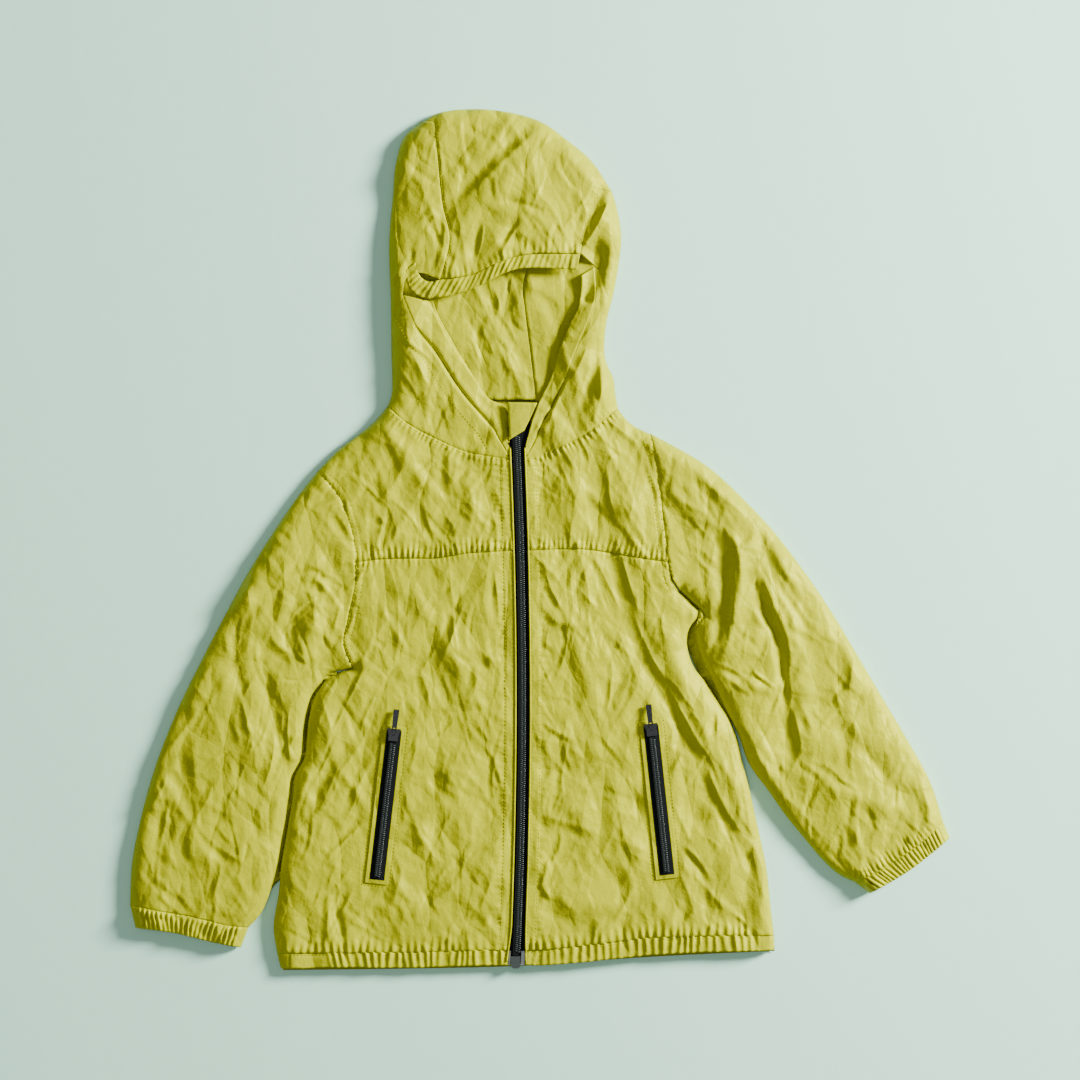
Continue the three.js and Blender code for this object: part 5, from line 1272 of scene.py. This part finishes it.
def ring_plate(name, outer, hole, z0, z1, bevel, place, slot, body):
    """A plate with a hole, its edges rounded over. Outer and hole are closed loops in step."""
    centre = hole.mean(0)
    inset = lambda loop, d: loop - (loop - centre) / np.linalg.norm(
        loop - centre, axis=1, keepdims=True) * d
    loops = [(inset(outer, bevel), z0), (outer, z0 + bevel), (outer, z1 - bevel),
             (inset(outer, bevel), z1), (inset(hole, -bevel * 0.6), z1), (hole, z1 - bevel),
             (hole, z0 + bevel), (inset(hole, -bevel * 0.6), z0)]
    n = len(outer)
    verts = np.concatenate([np.column_stack([loop, np.full(n, z)]) for loop, z in loops])
    i = np.arange(n)
    after = (i + 1) % n
    rounds = [(k, (k + 1) % 8) for k in range(8)]
    faces = np.concatenate([np.stack([a * n + i, a * n + after, b * n + after, b * n + i], -1)
                            for a, b in rounds])
    return make_object(name, place(verts) * 0.001, faces, slot, body, smooth_shading=False)


def rounded(corners, radius, count=84):
    """A closed loop through corners, each rounded off, evenly spaced."""
    c = np.array(corners, float)
    pts = []
    for i in range(len(c)):
        a, b = c[i - 1] - c[i], c[(i + 1) % len(c)] - c[i]
        p, q = c[i] + a / np.linalg.norm(a) * radius, c[i] + b / np.linalg.norm(b) * radius
        for t in np.linspace(0, 1, 7):
            pts.append((1 - t) ** 2 * p + 2 * t * (1 - t) * c[i] + t * t * q)
    pts = np.array(pts + [pts[0]])
    at = lengths(pts)
    s = np.linspace(0, at[-1], count, endpoint=False)
    return np.stack([np.interp(s, at, pts[:, 0]), np.interp(s, at, pts[:, 1])], -1)


def hole_for(outer, centre, rx, ry):
    """Points of an oval hole at the same bearings as the outline's."""
    v = outer - centre
    bearing = np.arctan2(v[:, 1], v[:, 0])
    return centre + np.stack([np.cos(bearing) * rx, np.sin(bearing) * ry], -1)


DECK = 2.9 + 0.4 + 1.0  # the slider's top above the front
HINGE_UP, HINGE_ALONG = 1.1, 2.2  # the pull's hinge above the deck and along the slider
for name, (centre, across, up) in POCKETS.items():
    axes, origin = axes_on(centre + up * (WINDOW_LONG - SLIDER_HALF + 1.5), up)
    place = lambda v: v @ axes + origin
    mouth = rounded([[-3.4, -5.6], [3.4, -5.6], [5.0, 1.5], [6.1, 5.6], [2.6, 4.6],
                     [-2.6, 4.6], [-6.1, 5.6], [-5.0, 1.5]], 1.0)
    ring_plate(f"slider_{name}", mouth, hole_for(mouth, np.array([0, 0.0]), 1.0, 1.0),
               DECK - 1.7, DECK - 0.12, 0.35, place, "zip_metal", "jacket")
    c, s = np.cos(-0.1), np.sin(-0.1)
    tilt = np.array([[1, 0, 0], [0, c, s], [0, -s, c]])
    hinge = np.array([0, HINGE_ALONG, DECK + HINGE_UP])
    place_pull = lambda v: (v @ tilt + hinge) @ axes + origin
    bar = rounded([[-2.05, -0.55], [2.05, -0.55], [2.1, 6], [2.55, 19.5], [-2.55, 19.5],
                   [-2.1, 6]], 0.8)
    pull = ring_plate(f"pull_{name}", bar, hole_for(bar, np.array([0, 2.2]), 1.3, 1.7),
                      -0.5, 0.5, 0.22, place_pull, "zip_metal", f"{name}_pull")
    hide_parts(f"pocket_{name}_pull")
    print("slider and pull", name, np.round(origin, 1).tolist())

# %% [markdown]
# ## Finishes
# Thin nylon with a soft sheen, black woven zip tape, glossy black coils and enamelled sliders.
# The cloth's weave and its faint facets are too fine for the mesh, so they are bumps.

# %% materials


def material(name, base, rough, **shader):
    m = bpy.data.materials.new(name)
    m.use_nodes = True
    b = m.node_tree.nodes["Principled BSDF"]
    b.inputs["Base Color"].default_value = (*base, 1)
    b.inputs["Roughness"].default_value = rough
    for key, value in shader.items():
        b.inputs[key.replace("_", " ")].default_value = value
    return m, m.node_tree, b


def noise(tree, scale, detail, rough, where):
    n = tree.nodes.new("ShaderNodeTexNoise")
    n.inputs["Scale"].default_value = scale
    n.inputs["Detail"].default_value = detail
    n.inputs["Roughness"].default_value = rough
    tree.links.new(where, n.inputs["Vector"])
    return n.outputs["Fac"]


def maths(tree, operation, a, b):
    n = tree.nodes.new("ShaderNodeMath")
    n.operation = operation
    for socket, value in zip(n.inputs, (a, b)):
        if isinstance(value, (int, float)):
            socket.default_value = value
        else:
            tree.links.new(value, socket)
    return n.outputs[0]


def bump(tree, bsdf, height, distance):
    n = tree.nodes.new("ShaderNodeBump")
    n.inputs["Distance"].default_value = distance
    n.inputs["Strength"].default_value = 1.0
    tree.links.new(height, n.inputs["Height"])
    tree.links.new(n.outputs["Normal"], bsdf.inputs["Normal"])


def facets(tree, where, scale, slope, seed):
    """Flat faces that meet in sharp creases, about one per 1/scale metres, with a slope."""
    turn = tree.nodes.new("ShaderNodeMapping")
    turn.inputs["Rotation"].default_value = (0, 0, seed)
    turn.inputs["Scale"].default_value = (1, 0.55, 1)
    tree.links.new(where, turn.inputs["Vector"])
    warp = tree.nodes.new("ShaderNodeTexNoise")
    warp.inputs["Scale"].default_value = scale * 0.8
    tree.links.new(turn.outputs[0], warp.inputs["Vector"])
    mix = tree.nodes.new("ShaderNodeMix")
    mix.data_type = "VECTOR"
    mix.inputs["Factor"].default_value = 0.012
    tree.links.new(turn.outputs[0], mix.inputs["A"])
    tree.links.new(warp.outputs["Color"], mix.inputs["B"])
    cells = tree.nodes.new("ShaderNodeTexVoronoi")
    cells.feature = "DISTANCE_TO_EDGE"
    cells.inputs["Scale"].default_value = scale
    tree.links.new(mix.outputs["Result"], cells.inputs["Vector"])
    return maths(tree, "MULTIPLY", cells.outputs["Distance"], 1000 * slope / scale)


def cloth_material(name, base, rough):
    m, tree, b = material(name, base, rough, Sheen_Weight=0.05, Sheen_Roughness=0.4,
                          Specular_IOR_Level=0.3, Sheen_Tint=(1, 0.95, 0.1, 1),
                          Specular_Tint=(1, 0.97, 0.1, 1))
    where = tree.nodes.new("ShaderNodeTexCoord").outputs["Object"]
    height = maths(tree, "ADD", facets(tree, where, 24, 0.17, 0.9),
                   facets(tree, where, 52, 0.10, -0.7))
    weave = maths(tree, "MULTIPLY", noise(tree, 260, 3, 0.6, where), 0.45)
    bump(tree, b, maths(tree, "ADD", height, weave), 0.001)
    tone = tree.nodes.new("ShaderNodeValToRGB")
    for stop, place, share in zip(tone.color_ramp.elements, (0.3, 0.7), (0.88, 1)):
        stop.position, stop.color = place, (*[c * share for c in base], 1)
    tree.links.new(noise(tree, 25, 5, 0.6, where), tone.inputs["Fac"])
    tree.links.new(tone.outputs["Color"], b.inputs["Base Color"])
    return m


looks = {
    "shell": cloth_material("nylon", (0.385, 0.39, 0.0), 0.46),
    # the inside faces take a darker copy of the nylon: painted shade for the back where it shows in
    # the gaps at the neck and below the hem
    "shell_inside": cloth_material("nylon_inside_painted_shade", (0.29, 0.288, 0.0), 0.5),
}


def plain(name, base, rough, scale, depth, **shader):
    m, tree, b = material(name, base, rough, **shader)
    where = tree.nodes.new("ShaderNodeTexCoord").outputs["Object"]
    bump(tree, b, noise(tree, scale, 3, 0.5, where), depth)
    return m


looks["zip_tape"] = plain("tape", (0.003, 0.0045, 0.004), 0.85, 900, 0.0004,
                          Specular_IOR_Level=0.15)
looks["zip_plastic"] = plain("coil", (0.02, 0.028, 0.024), 0.3, 400, 0.0001)
looks["zip_metal"] = plain("enamel", (0.003, 0.004, 0.004), 0.22, 500, 0.00008, Metallic=0.3)
looks["patch_film"] = plain("film", (0.42, 0.44, 0.42), 0.35, 300, 0.0001)

slot_of = {row["node"]: row["material_slot"] for row in frame["record"]["subparts"]}
for name, obj in nodes.items():
    obj.data.materials.clear()
    obj.data.materials.append(looks["zip_tape" if name.endswith("chain") else slot_of[name]])
for obj in bpy.context.scene.objects:
    if obj.type == "MESH" and not obj.data.materials:
        obj.data.materials.append(looks[obj["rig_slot"]])
print("finishes", sorted(looks))

# %% [markdown]
# ## Floor, light and camera
# The jacket is lit from the upper right as the viewer sees it, with a broad soft fill, and
# seen from straight above.

# %% floor
bpy.ops.mesh.primitive_plane_add(size=8, location=(0, 0, -0.0008))
floor = bpy.context.object
floor.name = "floor"
floor_look = plain("floor_finish", (0.50, 0.86, 0.64), 0.9, 40, 0.0002)
floor.data.materials.append(floor_look)

# %% lights and camera


def area_light(name, at, size, power, color=(1, 1, 1)):
    """A round soft light that faces the middle of the jacket."""
    data = bpy.data.lights.new(name, "AREA")
    data.shape, data.size, data.energy, data.color = "DISK", size, power, color
    obj = bpy.data.objects.new(name, data)
    obj.location = at
    obj.rotation_euler = Vector(at).to_track_quat("Z", "Y").to_euler()
    bpy.context.scene.collection.objects.link(obj)


area_light("key", (2.5, 1.0, 1.2), 0.8, 390)
area_light("fill", (-0.5, -0.3, 3.0), 2.0, 18, (0.95, 0.98, 1))
world = bpy.data.worlds.new("studio")
world.use_nodes = True
sky = world.node_tree.nodes["Background"].inputs
sky["Color"].default_value, sky["Strength"].default_value = (0.9, 0.95, 1, 1), 0.27
bpy.context.scene.world = world

camera_data = bpy.data.cameras.new("camera")
camera_data.type = "PERSP"
SENSOR = 36
camera_data.sensor_width = SENSOR
camera = bpy.data.objects.new("camera", camera_data)
bpy.context.scene.collection.objects.link(camera)
HEIGHT, SEEN, CLOTH_UP = 3.2, 0.918, 0.01  # the camera's height, the width seen, the cloth's height
camera.location = (0.01785, 0, HEIGHT)
camera_data.lens = SENSOR * (HEIGHT - CLOTH_UP) / SEEN
camera_data.clip_end = 20
bpy.context.scene.camera = camera
print("lens", round(camera_data.lens, 2))

# %% [markdown]
# ## The cut
# Cloth is cut flat. The table gives how large each piece was before it was sewn and laid
# down: the cut of what shows, and for a sleeve or a cuff the way all round. The area each
# piece shows is printed as a share of its cut.

# %% what each piece was cut from
# piece: width, length (mm), area (mm2) where the cut isn't a rectangle
CUTS = {
    "front_left": (210, 345, 62000), "front_right": (212, 345, 60500),
    "yoke_left": (175, 135, 15900), "yoke_right": (126, 122, 12400),
    "back": (426, 475, 154000), "hem_back": (424, 16, 6300),
    "sleeve_left": (264, 345, 86500), "sleeve_right": (270, 345, 90000),
    "cuff_left": (235, 21, None), "cuff_right": (190, 21, None),
    "hem_front_left": (230, 17, None), "hem_front_right": (240, 17, None),
    "hood_side_left": (120, 295, 24500), "hood_side_right": (115, 240, 21000),
    "hood_centre": (160, 390, 42000), "hood_brim": (160, 15, None),
    "hood_edge_left": (172, 17, None), "hood_edge_right": (182, 14, None),
    "zip_guard": (30, 22, None),
}
for node, (width, length, area) in CUTS.items():
    obj = pieces[node]
    shown = sum(p.area for p in obj.data.polygons) / 2 * 1e6
    print(node, round(shown), "mm2,", round(shown / (area or width * length), 2), "of the cut")
